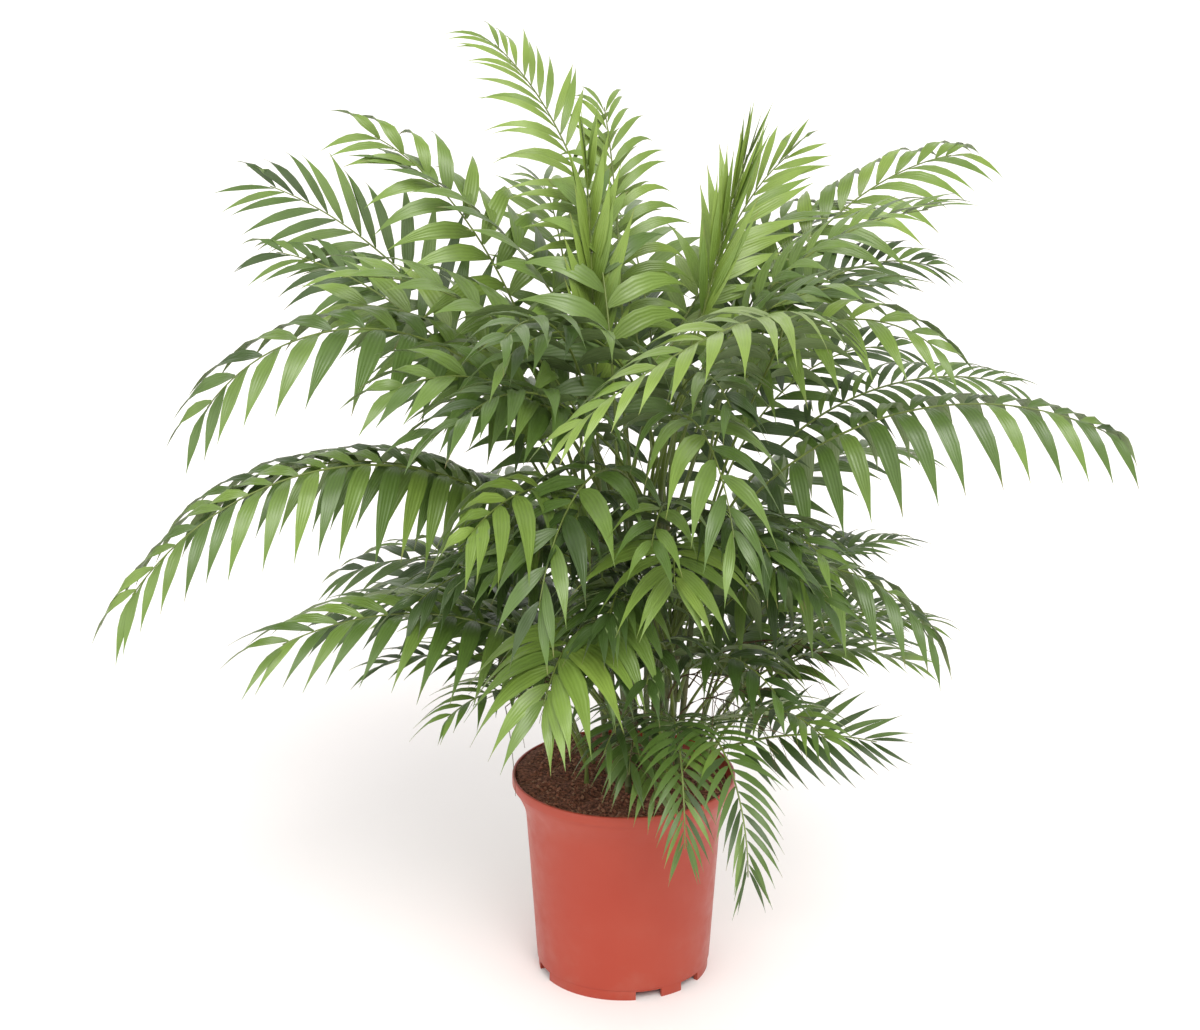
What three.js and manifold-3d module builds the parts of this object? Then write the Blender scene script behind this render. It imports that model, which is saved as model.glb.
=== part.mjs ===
import * as THREE from 'three';
import { mergeVertices } from 'three/addons/utils/BufferGeometryUtils.js';
import Module from 'manifold-3d';

// A parlour palm in its nursery pot. Millimetres, +Z up. The origin is on the floor, on the pot's axis,
// +X is the plant's right-hand side and -Y its front. A clump of thin canes stands in the potting soil,
// and feather fronds leave each cane at several heights and at its top.

const wasm = await Module();
wasm.setup();

// Clearance between neighbouring solids
const FIT = 0.3;

// Pot: a moulded nursery pot, 24 cm size, with a flared lip and a foot ring cut by drain notches
const POT_HEIGHT = 231;
const WALL = 1.8;
const FOOT_RADIUS = 94.5;
const FOOT_HEIGHT = 12;
const FOOT_RING_WIDTH = 5;
const WALL_FOOT_RADIUS = 96;
const WALL_TOP_RADIUS = 107.5;
const WALL_TOP = 186;
const LIP_RADIUS = 122.5;
const LIP_HEIGHT = 11;
const POT_SEGMENTS = 36;
const NOTCH_HEIGHT = 10;
const NOTCH_SWEEP = 18;
const NOTCH_TURNS = [39, 73];
const NOTCH_REPEATS = 3;

// Soil
const SOIL_TOP = 217;
const SOIL_SEGMENTS = 30;

// Canes: a sunflower spiral of thin green stems that lean outwards
const CLUMP_X = 22;
const CLUMP_Y = 4;
const CLUMP_RADIUS = 46;
const CANE_LEAN = 6;
const CANE_FOOT_RADIUS = 3.8;
const CANE_TOP_RADIUS = 2.8;
const CANE_SIDES = 8;
const CANE_HEIGHTS = [340, 335, 325, 335, 335, 195, 325, 330, 295, 315, 180, 290];
const GOLDEN_ANGLE = 137.508;

// Fronds: a three-sided midrib that arches over, with leaflets in opposite pairs
const RIB_STEPS = 48;
const STALK_RINGS = 5;
const RIB_HALF_WIDTH = [2.1, 0.9];
const RIB_DEPTH = [3.0, 1.5];
const RIB_TIP = 6;
const PAIR_SPACING = 42;
const MIN_PAIRS = 4;
const MAX_PAIRS = 9;
const LEAFLET_FOOT = 6;
const LEAFLET_BEND_AT = 0.42;
const LEAFLET_RISE = 0.4;
const LEAFLET_CURL = 0.3;
const LEAFLET_DROOP = 2.3;
const DROOP_LATE = 1.3;
const SPREAD_FIRST = 64;
const SPREAD_LAST = 24;
const LEAFLET_THICKNESS = 1 / 80;

// Each frond, by the column names below: the cane it grows from (counted from 0) and its height on that
// cane, the turn it heads in (0 to +X, 90 to +Y), the angle it leaves at, its midrib's length and bare
// stalk, the degrees it comes down by and how late, the turn added along it and the roll of its blade,
// its longest leaflet, a leaflet's width over its length, how far the leaflets hang and how wide they open
const TOP = 'top';
const FROND_COLUMNS = ['cane', 'rise', 'turn', 'lift', 'length', 'stalk', 'bend', 'late', 'sweep', 'roll',
  'leaf', 'broad', 'hang', 'open'];
const FRONDS = {
  crest: [6, TOP, 133, 85, 525, 200, 60, 1.9, 0, 10, 110, 0.12, 0.55, 0.95],
  spear: [4, TOP, 108, 85, 355, 110, 5, 1.7, 0, 0, 120, 0.15, 0.0, 0.38],
  spire: [1, TOP, 98, 87, 430, 170, 56, 1.8, 0, 0, 95, 0.15, 0.7, 1.0],
  facing: [7, TOP, 104, 86, 335, 110, 44, 1.6, 0, 0, 115, 0.24, 0.7, 1.0],
  high_left: [9, TOP, 162, 72, 462, 175, 48, 2.6, 0, 42, 115, 0.21, 0.8, 1.0],
  far_left: [9, 262, 150, 59, 555, 210, 48, 1.7, 0, 58, 126, 0.15, 0.45, 1.0],
  middle_left: [9, 240, 203, 77, 600, 195, 128, 1.6, 0, 25, 128, 0.22, 1.15, 1.1],
  long_left: [4, 140, 205, 79, 690, 185, 130, 1.1, 0, 20, 130, 0.18, 1.6, 1.05],
  low_left: [7, 58, 208, 68, 475, 130, 84, 1.0, 0, 20, 140, 0.155, 0.8, 1.0],
  bright_left: [1, 250, 182, 74, 430, 150, 70, 1.5, 0, 30, 135, 0.26, 0.4, 1.0],
  shade_left: [4, 80, 186, 62, 350, 130, 90, 1.3, 0, 20, 110, 0.22, 0.7, 1.0],
  inner_left: [7, 275, 208, 80, 380, 160, 95, 1.5, 0, 25, 125, 0.25, 0.6, 1.0],
  front_low: [7, 128, 250, 82, 312, 190, 130, 1.0, 0, 0, 145, 0.22, 0.7, 1.1],
  front_left: [7, 248, 238, 76, 350, 170, 100, 1.05, 0, 20, 124, 0.23, 1.3, 1.0],
  front_fan: [10, TOP, 270, 84, 300, 225, 130, 1.6, 0, 0, 125, 0.18, 0.5, 1.3],
  front_small: [2, 185, 256, 80, 275, 165, 140, 1.0, 0, 0, 120, 0.2, 0.8, 1.15],
  front_high: [2, TOP, 285, 80, 400, 160, 140, 1.1, 0, 0, 130, 0.22, 0.8, 1.0],
  front_middle: [2, 290, 247, 80, 380, 150, 150, 1.0, 0, 0, 125, 0.22, 0.8, 1.0],
  arch_left: [8, 255, 342, 80, 720, 220, 122, 1.3, -150, 0, 120, 0.2, 0.7, 1.0],
  arch_right: [8, TOP, 338, 84, 405, 170, 117, 1.7, 0, -20, 118, 0.2, 1.1, 1.0],
  long_right: [5, TOP, 356, 76, 562, 190, 100, 1.05, 0, -18, 130, 0.19, 2.2, 1.1],
  thin_right: [8, 245, 3, 68, 420, 180, 84, 1.3, 0, -20, 85, 0.13, 0.7, 1.0],
  shade_right: [8, 190, 28, 83, 415, 150, 98, 1.7, 0, -30, 100, 0.17, 0.5, 1.0],
  high_right: [11, TOP, 31, 66, 545, 190, 64, 1.8, 0, -30, 125, 0.17, 0.9, 0.9],
  tall_right: [3, TOP, 51, 80, 405, 195, 62, 1.7, 0, -55, 115, 0.16, 0.3, 0.68],
  back_right: [3, 270, 28, 74, 480, 190, 96, 1.7, 0, -30, 90, 0.14, 0.4, 1.0],
  middle_right: [5, 105, 335, 76, 390, 140, 132, 1.5, 0, 0, 125, 0.18, 2.2, 1.1],
  upright_right: [0, TOP, 25, 76, 365, 185, 4, 1.7, 0, -60, 112, 0.11, 0.0, 0.26],
  small_right: [8, 55, 20, 52, 290, 110, 70, 1.4, 0, -30, 85, 0.12, 0.5, 1.0],
  low_right: [8, 12, 350, 34, 225, 75, 44, 1.0, 0, -62, 88, 0.13, 0.15, 0.95],
  over_rim: [10, 15, 286, 60, 400, 130, 150, 1.6, 0, 0, 85, 0.12, 0.3, 1.0],
  over_rim_low: [10, 35, 274, 60, 340, 120, 150, 1.6, 0, 0, 80, 0.12, 0.3, 1.0],
  back_1: [11, 180, 60, 76, 470, 170, 100, 1.3, 0, 0, 115, 0.2, 0.5, 1.0],
  back_2: [3, 120, 38, 66, 450, 160, 92, 1.3, 0, 0, 110, 0.2, 0.5, 1.0],
  back_3: [6, 230, 96, 76, 450, 160, 86, 1.4, 0, 0, 115, 0.2, 0.5, 1.0],
  back_4: [6, 90, 122, 64, 430, 150, 92, 1.2, 0, 0, 110, 0.2, 0.5, 1.0],
  back_5: [1, 160, 140, 76, 440, 160, 84, 1.4, 0, 0, 115, 0.2, 0.5, 1.0],
  inner_1: [0, 240, 100, 80, 360, 150, 70, 1.5, 0, 0, 105, 0.2, 0.4, 1.0],
  inner_2: [2, 130, 312, 74, 330, 90, 92, 1.5, 0, 0, 115, 0.22, 0.7, 1.0],
  inner_3: [0, 110, 222, 76, 380, 100, 96, 1.4, 0, 0, 120, 0.22, 0.7, 1.0],
};

// More fronds that leave the same cane top and are one solid with the frond they are named for
const TWINS = [
  ['crest', [6, TOP, 40, 76, 430, 160, 84, 1.5, 0, 0, 110, 0.18, 0.4, 1.0]],
  ['spear', [4, TOP, 250, 78, 400, 160, 90, 1.5, 0, 0, 120, 0.23, 0.5, 1.0]],
  ['spire', [1, TOP, 165, 78, 430, 150, 60, 1.5, 0, 0, 120, 0.23, 0.4, 1.0]],
  ['facing', [7, TOP, 180, 74, 400, 150, 76, 1.5, 0, 0, 125, 0.25, 0.4, 1.0]],
  ['high_left', [9, TOP, 100, 76, 430, 160, 74, 1.5, 0, 0, 115, 0.2, 0.3, 1.0]],
  ['high_right', [11, TOP, 100, 74, 430, 160, 78, 1.5, 0, 0, 115, 0.2, 0.4, 1.0]],
  ['tall_right', [3, TOP, 0, 76, 430, 170, 70, 1.5, 0, 0, 110, 0.17, 0.3, 1.0]],
  ['upright_right', [0, TOP, 232, 78, 370, 110, 100, 1.5, 0, 0, 120, 0.22, 0.7, 1.0]],
  ['upright_right', [0, TOP, 285, 74, 330, 90, 98, 1.4, 0, 0, 115, 0.22, 0.7, 1.0]],
  ['facing', [7, TOP, 232, 72, 340, 100, 96, 1.4, 0, 0, 120, 0.22, 0.7, 1.0]],
  ['arch_right', [8, TOP, 60, 78, 430, 160, 84, 1.5, 0, 0, 110, 0.18, 0.4, 1.0]],
  ['long_right', [5, TOP, 262, 76, 360, 110, 100, 1.4, 0, 0, 120, 0.22, 0.7, 1.0]],
  ['long_right', [5, TOP, 305, 70, 310, 90, 92, 1.4, 0, 0, 115, 0.22, 0.7, 1.0]],
  ['front_high', [2, TOP, 340, 80, 390, 160, 80, 1.5, 0, 0, 110, 0.2, 0.4, 1.0]],
  ['front_fan', [10, TOP, 222, 70, 310, 110, 92, 1.4, 0, 0, 115, 0.2, 0.5, 1.0]],
  ['front_high', [2, TOP, 212, 66, 330, 90, 96, 1.4, 0, 0, 115, 0.22, 0.7, 1.0]],
  ['front_fan', [10, TOP, 312, 66, 290, 90, 96, 1.4, 0, 0, 110, 0.2, 0.6, 1.0]],
];

// Young shoots: three fronds on a short stem at the edge of the clump, each shoot one solid
const SHOOT_COUNT = 6;
const SHOOT_RING = 64;
const SHOOT_FIRST_TURN = -18;
const SHOOT_TURN_STEP = 42;
const SHOOT_FAN = 40;
const SHOOT_HEIGHTS = [14, 30];
const SHOOT_FOOT_RADIUS = 4;
const SHOOT_TOP_RADIUS = 3.4;
const SHOOT_FROND = { lift: 66, length: 290, stalk: 95, bend: 84, late: 1.3, sweep: 0, roll: 0, leaf: 90,
  broad: 0.16, hang: 0.5, open: 1 };
const SHOOT_MIDDLE_LIFT = 78;
const SHOOT_MIDDLE_LENGTH = 350;

// Colour and roughness of each kind of solid; the fronds run through their greens in turn
const TERRACOTTA = { color: 0xb85540, roughness: 0.45 };
const PEAT = { color: 0x4a3026, roughness: 0.95 };
const CANE_GREEN = { color: 0x6f8f4a, roughness: 0.6 };
const FROND_GREENS = [0x4f7d2c, 0x6d9a3c, 0x3c6428, 0x5a8a3a].map((color) => ({ color, roughness: 0.5 }));

const rad = THREE.MathUtils.degToRad;
const lerp = THREE.MathUtils.lerp;
const DOWN = new THREE.Vector3(0, 0, -1);

// ---- Solids ------------------------------------------------------------------------------------------

function solidFrom(geometry) {
  const bare = new THREE.BufferGeometry();
  bare.setAttribute('position', geometry.getAttribute('position'));
  bare.setIndex(geometry.index);
  const merged = mergeVertices(bare, 1e-4);
  return new wasm.Manifold(new wasm.Mesh({
    numProp: 3,
    vertProperties: new Float32Array(merged.getAttribute('position').array),
    triVerts: new Uint32Array(merged.index.array),
  }));
}

function geometryFrom(solid) {
  const mesh = solid.getMesh();
  return facets(mesh.vertProperties, mesh.triVerts);
}

function facets(positions, triangles) {
  const geometry = new THREE.BufferGeometry();
  geometry.setAttribute('position', new THREE.BufferAttribute(new Float32Array(positions), 3));
  geometry.setIndex(new THREE.BufferAttribute(new Uint32Array(triangles), 1));
  geometry.computeVertexNormals();
  return geometry;
}

// A profile of [radius, height] points turned about the Z axis
function turned(profile, segments) {
  const points = profile.map(([radius, height]) => new THREE.Vector2(radius, height));
  return new THREE.LatheGeometry(points, segments).rotateX(Math.PI / 2);
}

// ---- Pot and soil ------------------------------------------------------------------------------------

const lipFoot = POT_HEIGHT - LIP_HEIGHT;
const flare = [[109, WALL_TOP + 8], [113.5, WALL_TOP + 19], [LIP_RADIUS - 2.5, lipFoot - 1]];

function makePot() {
  const outside = [
    [FOOT_RADIUS, 0], [FOOT_RADIUS, FOOT_HEIGHT], [WALL_FOOT_RADIUS, FOOT_HEIGHT + 1],
    [WALL_TOP_RADIUS, WALL_TOP], ...flare,
    [LIP_RADIUS, lipFoot], [LIP_RADIUS, POT_HEIGHT - 1.5], [LIP_RADIUS - 1, POT_HEIGHT],
  ];
  const inside = [
    [LIP_RADIUS - WALL - 1, POT_HEIGHT],
    ...flare.map(([radius, height]) => [radius - WALL, height + 1]).reverse(),
    [WALL_TOP_RADIUS - WALL, WALL_TOP], [WALL_FOOT_RADIUS - WALL, FOOT_HEIGHT + WALL],
    [0, FOOT_HEIGHT + WALL],
  ];
  const ringInside = FOOT_RADIUS - FOOT_RING_WIDTH;
  const underside = [[0, FOOT_HEIGHT], [ringInside, FOOT_HEIGHT], [ringInside, 0]];
  let pot = solidFrom(turned([...underside, ...outside, ...inside], POT_SEGMENTS));
  const notchWidth = 2 * FOOT_RADIUS * Math.sin(rad(NOTCH_SWEEP / 2));
  for (let repeat = 0; repeat < NOTCH_REPEATS; repeat += 1) {
    for (const turn of NOTCH_TURNS) {
      const notch = new THREE.BoxGeometry(4 * FOOT_RING_WIDTH, notchWidth, 2 * NOTCH_HEIGHT);
      notch.translate(FOOT_RADIUS - FOOT_RING_WIDTH / 2, 0, 0);
      notch.rotateZ(rad(-turn - repeat * 360 / NOTCH_REPEATS));
      pot = pot.subtract(solidFrom(notch));
    }
  }
  return geometryFrom(pot);
}

function makeSoil() {
  const wallSlope = (WALL_TOP_RADIUS - WALL_FOOT_RADIUS) / (WALL_TOP - FOOT_HEIGHT);
  const foot = FOOT_HEIGHT + WALL + FIT;
  const inner = (height) => WALL_FOOT_RADIUS - WALL - 2 * FIT + wallSlope * (height - foot);
  const profile = [
    [0, foot], [inner(foot) - 2, foot], [inner(WALL_TOP), WALL_TOP], [108, SOIL_TOP - 14],
    [114, SOIL_TOP - 4], [112, SOIL_TOP], [0, SOIL_TOP],
  ];
  return turned(profile, SOIL_SEGMENTS);
}

// ---- Canes -------------------------------------------------------------------------------------------

function makeCane(index) {
  const radius = CLUMP_RADIUS * Math.sqrt((index + 0.5) / CANE_HEIGHTS.length);
  const turn = rad(index * GOLDEN_ANGLE);
  const outward = new THREE.Vector3(Math.cos(turn), Math.sin(turn), 0);
  const slope = Math.tan(rad(CANE_LEAN)) * radius / CLUMP_RADIUS;
  const foot = new THREE.Vector3(CLUMP_X, CLUMP_Y, SOIL_TOP + FIT).addScaledVector(outward, radius);
  const height = CANE_HEIGHTS[index];
  // A straight cone with its ends kept level while the axis leans
  const cane = new THREE.CylinderGeometry(CANE_TOP_RADIUS, CANE_FOOT_RADIUS, height, CANE_SIDES);
  cane.rotateX(Math.PI / 2).translate(0, 0, height / 2);
  const lean = new THREE.Matrix4().makeShear(0, 0, 0, 0, outward.x * slope, outward.y * slope);
  cane.applyMatrix4(lean).translate(foot.x, foot.y, foot.z);
  return { foot, outward, slope, height, geometry: cane };
}

function caneCentre(cane, rise) {
  return cane.foot.clone().addScaledVector(cane.outward, cane.slope * rise).setZ(cane.foot.z + rise);
}

// ---- Fronds ------------------------------------------------------------------------------------------

// Where the midrib starts: just clear of the cane's side, or of its cut top
function frondFoot(frond, cane) {
  if (frond.rise === TOP) {
    const keelDrop = RIB_DEPTH[0] * Math.cos(rad(frond.lift));
    return caneCentre(cane, cane.height).add(new THREE.Vector3(0, 0, FIT + keelDrop));
  }
  const reach = lerp(CANE_FOOT_RADIUS, CANE_TOP_RADIUS, frond.rise / cane.height) + FIT;
  const turn = rad(frond.turn);
  const outward = new THREE.Vector3(Math.cos(turn), Math.sin(turn), 0);
  return caneCentre(cane, frond.rise).addScaledVector(outward, reach);
}

// The midrib's line as equal steps, with its heading at each point
function ribLine(frond) {
  const points = [frond.foot];
  const step = frond.length / RIB_STEPS;
  const heading = (along) => ({
    turn: rad(frond.turn + frond.sweep * along),
    climb: rad(frond.lift - frond.bend * along ** frond.late),
  });
  for (let index = 0; index < RIB_STEPS; index += 1) {
    const { turn, climb } = heading((index + 0.5) / RIB_STEPS);
    const ahead = new THREE.Vector3(
      Math.cos(climb) * Math.cos(turn), Math.cos(climb) * Math.sin(turn), Math.sin(climb));
    points.push(points[index].clone().addScaledVector(ahead, step));
  }
  return { points, step, heading };
}

// The midrib's frame at a distance along it: place, and the directions ahead, right and up
function ribFrame(frond, line, distance) {
  const place = Math.min(distance / line.step, RIB_STEPS - 1e-6);
  const index = Math.floor(place);
  const point = line.points[index].clone().lerp(line.points[index + 1], place - index);
  const { turn, climb } = line.heading(distance / frond.length);
  const ahead = new THREE.Vector3(
    Math.cos(climb) * Math.cos(turn), Math.cos(climb) * Math.sin(turn), Math.sin(climb));
  const right = new THREE.Vector3(Math.sin(turn), -Math.cos(turn), 0);
  right.applyAxisAngle(ahead, -rad(frond.roll) * Math.min(1, distance / frond.stalk));
  const up = right.clone().cross(ahead);
  return { point, ahead, right, up };
}

function pairCount(frond) {
  const count = Math.round((frond.length - frond.stalk) / PAIR_SPACING);
  return Math.min(MAX_PAIRS, Math.max(MIN_PAIRS, count));
}

// One leaflet's corners beyond the midrib: two edges and a keel at its widest, then the tip.
// side is +1 on the right and -1 on the left, part runs from 0 at the first pair to 1 at the last.
function leafletShape(frond, frame, root, side, part, change) {
  const spread = rad(lerp(SPREAD_FIRST, SPREAD_LAST, part ** 1.2) * frond.open + change.spread);
  const size = frond.leaf * change.scale * (1 - 0.4 * part * part) * (0.8 + 0.2 * Math.min(1, 3 * part));
  const out = frame.right.clone().multiplyScalar(side * Math.sin(spread))
    .addScaledVector(frame.ahead, Math.cos(spread));
  const hang = frond.hang * (1 - 0.5 * part) + change.hang;
  // It rises off the midrib, curls towards the frond's tip and droops more and more
  const heads = (along) => out.clone().addScaledVector(frame.up, LEAFLET_RISE * (1 - along))
    .addScaledVector(frame.ahead, LEAFLET_CURL * along)
    .addScaledVector(DOWN, LEAFLET_DROOP * hang * along ** DROOP_LATE).normalize();
  const near = heads(LEAFLET_BEND_AT / 2);
  const far = heads((1 + LEAFLET_BEND_AT) / 2);
  const along = frame.ahead.clone().addScaledVector(near, -frame.ahead.dot(near)).normalize();
  const top = near.clone().cross(along).multiplyScalar(side);
  const middle = root.clone().addScaledVector(near, LEAFLET_BEND_AT * size);
  const halfWidth = size * frond.broad * (1 - 0.25 * part) / 2;
  const grow = change.margin;
  return {
    back: middle.clone().addScaledVector(along, -halfWidth - grow).addScaledVector(top, grow),
    front: middle.clone().addScaledVector(along, halfWidth + grow).addScaledVector(top, grow),
    keel: middle.clone().addScaledVector(top, -size * LEAFLET_THICKNESS - grow),
    tip: middle.clone().addScaledVector(far, (1 - LEAFLET_BEND_AT) * size + 2 * grow),
  };
}

// Triangles of a leaflet that stands on the midrib's side face between two rings.
// edge and keel are the ring corners it grows from, at its near (0) and far (1) end.
function leafletTriangles(edge0, keel0, edge1, keel1, back, front, keel, tip) {
  return [
    [edge0, back, front], [edge0, front, edge1],
    [edge0, keel0, keel], [edge0, keel, back],
    [edge1, front, keel], [edge1, keel, keel1],
    [keel0, keel1, keel],
    [back, tip, front], [front, tip, keel], [keel, tip, back],
  ];
}

const flipped = (triangles) => triangles.map(([a, b, c]) => [a, c, b]);

// Ways to place a leaflet, tried in turn until one is clear of everything
const LEAFLET_TRIES = [
  { hang: 0, spread: 0, scale: 1 }, { hang: 0.35, spread: 0, scale: 1 },
  { hang: -0.35, spread: 0, scale: 1 }, { hang: 0, spread: 14, scale: 1 },
  { hang: 0, spread: -14, scale: 1 }, { hang: 0.7, spread: 8, scale: 0.9 },
  { hang: -0.7, spread: -8, scale: 0.9 }, { hang: 0.2, spread: 22, scale: 0.8 },
  { hang: 0, spread: 0, scale: 0.6 },
];

// The rings of three corners (left edge, right edge, keel) that the midrib's skin is stretched over
function ribRings(frond, line) {
  const pairs = pairCount(frond);
  const rings = [];
  const addRing = (distance, pair) => {
    const frame = ribFrame(frond, line, distance);
    const along = distance / frond.length;
    const half = lerp(...RIB_HALF_WIDTH, along);
    const depth = lerp(...RIB_DEPTH, along);
    rings.push({
      frame, distance, pair,
      left: frame.point.clone().addScaledVector(frame.right, -half),
      right: frame.point.clone().addScaledVector(frame.right, half),
      keel: frame.point.clone().addScaledVector(frame.up, -depth),
    });
  };
  for (let ring = 0; ring < STALK_RINGS; ring += 1) {
    addRing(frond.stalk * ring / STALK_RINGS, null);
  }
  const lastPair = frond.length - RIB_TIP - LEAFLET_FOOT;
  for (let pair = 0; pair < pairs; pair += 1) {
    const distance = lerp(frond.stalk, lastPair, pair / (pairs - 1));
    addRing(distance, pair / (pairs - 1));
    addRing(distance + LEAFLET_FOOT, null);
  }
  return rings;
}

// Builds a frond's facets. chooseLeaflet gives the leaflet's shape at a place, or null to leave it off.
function frondFacets(frond, line, chooseLeaflet) {
  const corners = [];
  const triangles = [];
  const corner = (vector) => {
    corners.push(vector.x, vector.y, vector.z);
    return corners.length / 3 - 1;
  };
  const rings = ribRings(frond, line);
  const ids = rings.map((ring) => ({
    left: corner(ring.left), right: corner(ring.right), keel: corner(ring.keel),
  }));
  triangles.push([ids[0].left, ids[0].keel, ids[0].right]);
  for (let index = 0; index + 1 < rings.length; index += 1) {
    const [here, next] = [ids[index], ids[index + 1]];
    triangles.push([here.left, here.right, next.right], [here.left, next.right, next.left]);
    for (const [side, edge] of [[1, 'right'], [-1, 'left']]) {
      const shape = rings[index].pair === null ? null
        : chooseLeaflet(rings[index], rings[index + 1], edge, side);
      let skin;
      if (shape) {
        skin = leafletTriangles(here[edge], here.keel, next[edge], next.keel,
          corner(shape.back), corner(shape.front), corner(shape.keel), corner(shape.tip));
      } else {
        skin = [[here[edge], here.keel, next.keel], [here[edge], next.keel, next[edge]]];
      }
      triangles.push(...(side > 0 ? skin : flipped(skin)));
    }
  }
  const last = ids[ids.length - 1];
  const apex = corner(line.points[RIB_STEPS]);
  triangles.push([last.left, last.right, apex], [last.right, last.keel, apex], [last.keel, last.left, apex]);
  return facets(corners, triangles.flat());
}

// A leaflet as a solid of its own, used to find whether it touches anything
function leafletSolid(ring, next, edge, side, shape) {
  const points = [ring[edge], ring.keel, next[edge], next.keel,
    shape.back, shape.front, shape.keel, shape.tip];
  const skin = leafletTriangles(0, 1, 2, 3, 4, 5, 6, 7);
  skin.push([0, 3, 1], [0, 2, 3]);
  const positions = points.flatMap((point) => [point.x, point.y, point.z]);
  return solidFrom(facets(positions, (side > 0 ? skin : flipped(skin)).flat()));
}

function boxOf(solid) {
  const { min, max } = solid.boundingBox();
  return new THREE.Box3(new THREE.Vector3(...min), new THREE.Vector3(...max));
}

// ---- Assembly ----------------------------------------------------------------------------------------

function frondFromRow(name, row) {
  const frond = { name };
  FROND_COLUMNS.forEach((column, index) => { frond[column] = row[index]; });
  frond.foot = frondFoot(frond, canes[frond.cane]);
  return frond;
}

// A shoot is a short stem with three fronds fused on: one at each side and a taller one between them
function makeShoot(index) {
  const turn = SHOOT_FIRST_TURN + SHOOT_TURN_STEP * index;
  const height = SHOOT_HEIGHTS[index % 2];
  const foot = new THREE.Vector3(CLUMP_X + SHOOT_RING * Math.cos(rad(turn)),
    CLUMP_Y + SHOOT_RING * Math.sin(rad(turn)), SOIL_TOP + FIT);
  const stem = new THREE.CylinderGeometry(SHOOT_TOP_RADIUS, SHOOT_FOOT_RADIUS, height, CANE_SIDES);
  stem.rotateX(Math.PI / 2).translate(foot.x, foot.y, foot.z + height / 2);
  const top = foot.clone().add(new THREE.Vector3(0, 0, height - SHOOT_TOP_RADIUS));
  const shoot = [-1, 0, 1].map((place) => ({
    ...SHOOT_FROND,
    name: `shoot_${index + 1} ${place}`,
    foot: top,
    turn: turn + place * SHOOT_FAN,
    lift: place === 0 ? SHOOT_MIDDLE_LIFT : SHOOT_FROND.lift,
    length: place === 0 ? SHOOT_MIDDLE_LENGTH : SHOOT_FROND.length,
  }));
  return { name: `shoot_${index + 1}`, fronds: shoot, stem: solidFrom(stem) };
}

const palm = new THREE.Group();
const obstacles = [];

function addMesh(name, geometry, finish) {
  const mesh = new THREE.Mesh(geometry, new THREE.MeshStandardMaterial({ ...finish, metalness: 0 }));
  mesh.name = name;
  palm.add(mesh);
}

function addObstacle(solid, owner) {
  obstacles.push({ solid, owner, box: boxOf(solid) });
}

function touches(solid, owner) {
  const box = boxOf(solid);
  return obstacles.some((other) => other.owner !== owner && other.box.intersectsBox(box)
    && !other.solid.intersect(solid).isEmpty());
}

// A frond's solid, with each leaflet in the first of its tried places that touches nothing
function growFrond(frond) {
  const chooseLeaflet = (ring, next, edge, side) => {
    const root = ring[edge].clone().lerp(next[edge], 0.5);
    for (const change of LEAFLET_TRIES) {
      const grown = leafletShape(frond, ring.frame, root, side, ring.pair, { ...change, margin: 1.5 * FIT });
      if (!touches(leafletSolid(ring, next, edge, side, grown), frond.name)) {
        const shape = leafletShape(frond, ring.frame, root, side, ring.pair, { ...change, margin: 0 });
        addObstacle(leafletSolid(ring, next, edge, side, shape), `${frond.name} leaflet`);
        return shape;
      }
    }
    return null;
  };
  return frondFacets(frond, ribLine(frond), chooseLeaflet);
}

const potGeometry = makePot();
addMesh('pot', potGeometry, TERRACOTTA);
addObstacle(solidFrom(potGeometry), 'pot');

const soilGeometry = makeSoil();
addMesh('soil', soilGeometry, PEAT);
addObstacle(solidFrom(soilGeometry), 'soil');

const canes = CANE_HEIGHTS.map((_, index) => makeCane(index));
canes.forEach((cane, index) => {
  addMesh(`cane_${index + 1}`, cane.geometry, CANE_GREEN);
  addObstacle(solidFrom(cane.geometry), 'cane');
});

const nodes = Object.entries(FRONDS).map(([name, row]) => {
  const members = [frondFromRow(name, row)];
  TWINS.filter(([twin]) => twin === name)
    .forEach(([, twinRow], index) => members.push(frondFromRow(`${name} twin ${index}`, twinRow)));
  return { name: `frond_${name}`, fronds: members };
});
for (let index = 0; index < SHOOT_COUNT; index += 1) {
  const shoot = makeShoot(index);
  addObstacle(shoot.stem, shoot.name);
  nodes.push(shoot);
}

// All the bare midribs stand in the leaflets' way before the first leaflet is placed
for (const node of nodes) {
  for (const frond of node.fronds) {
    addObstacle(solidFrom(frondFacets(frond, ribLine(frond), () => null)), frond.name);
  }
}

nodes.forEach((node, index) => {
  const grown = node.fronds.map(growFrond);
  const finish = FROND_GREENS[index % FROND_GREENS.length];
  if (grown.length === 1) {
    addMesh(node.name, grown[0], finish);
    return;
  }
  const parts = grown.map(solidFrom);
  if (node.stem) parts.push(node.stem);
  addMesh(node.name, geometryFrom(parts.reduce((whole, part) => whole.add(part))), finish);
});

export default palm;
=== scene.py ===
import math
import random

import bpy
import numpy as np
from mathutils import Matrix, Vector


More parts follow.
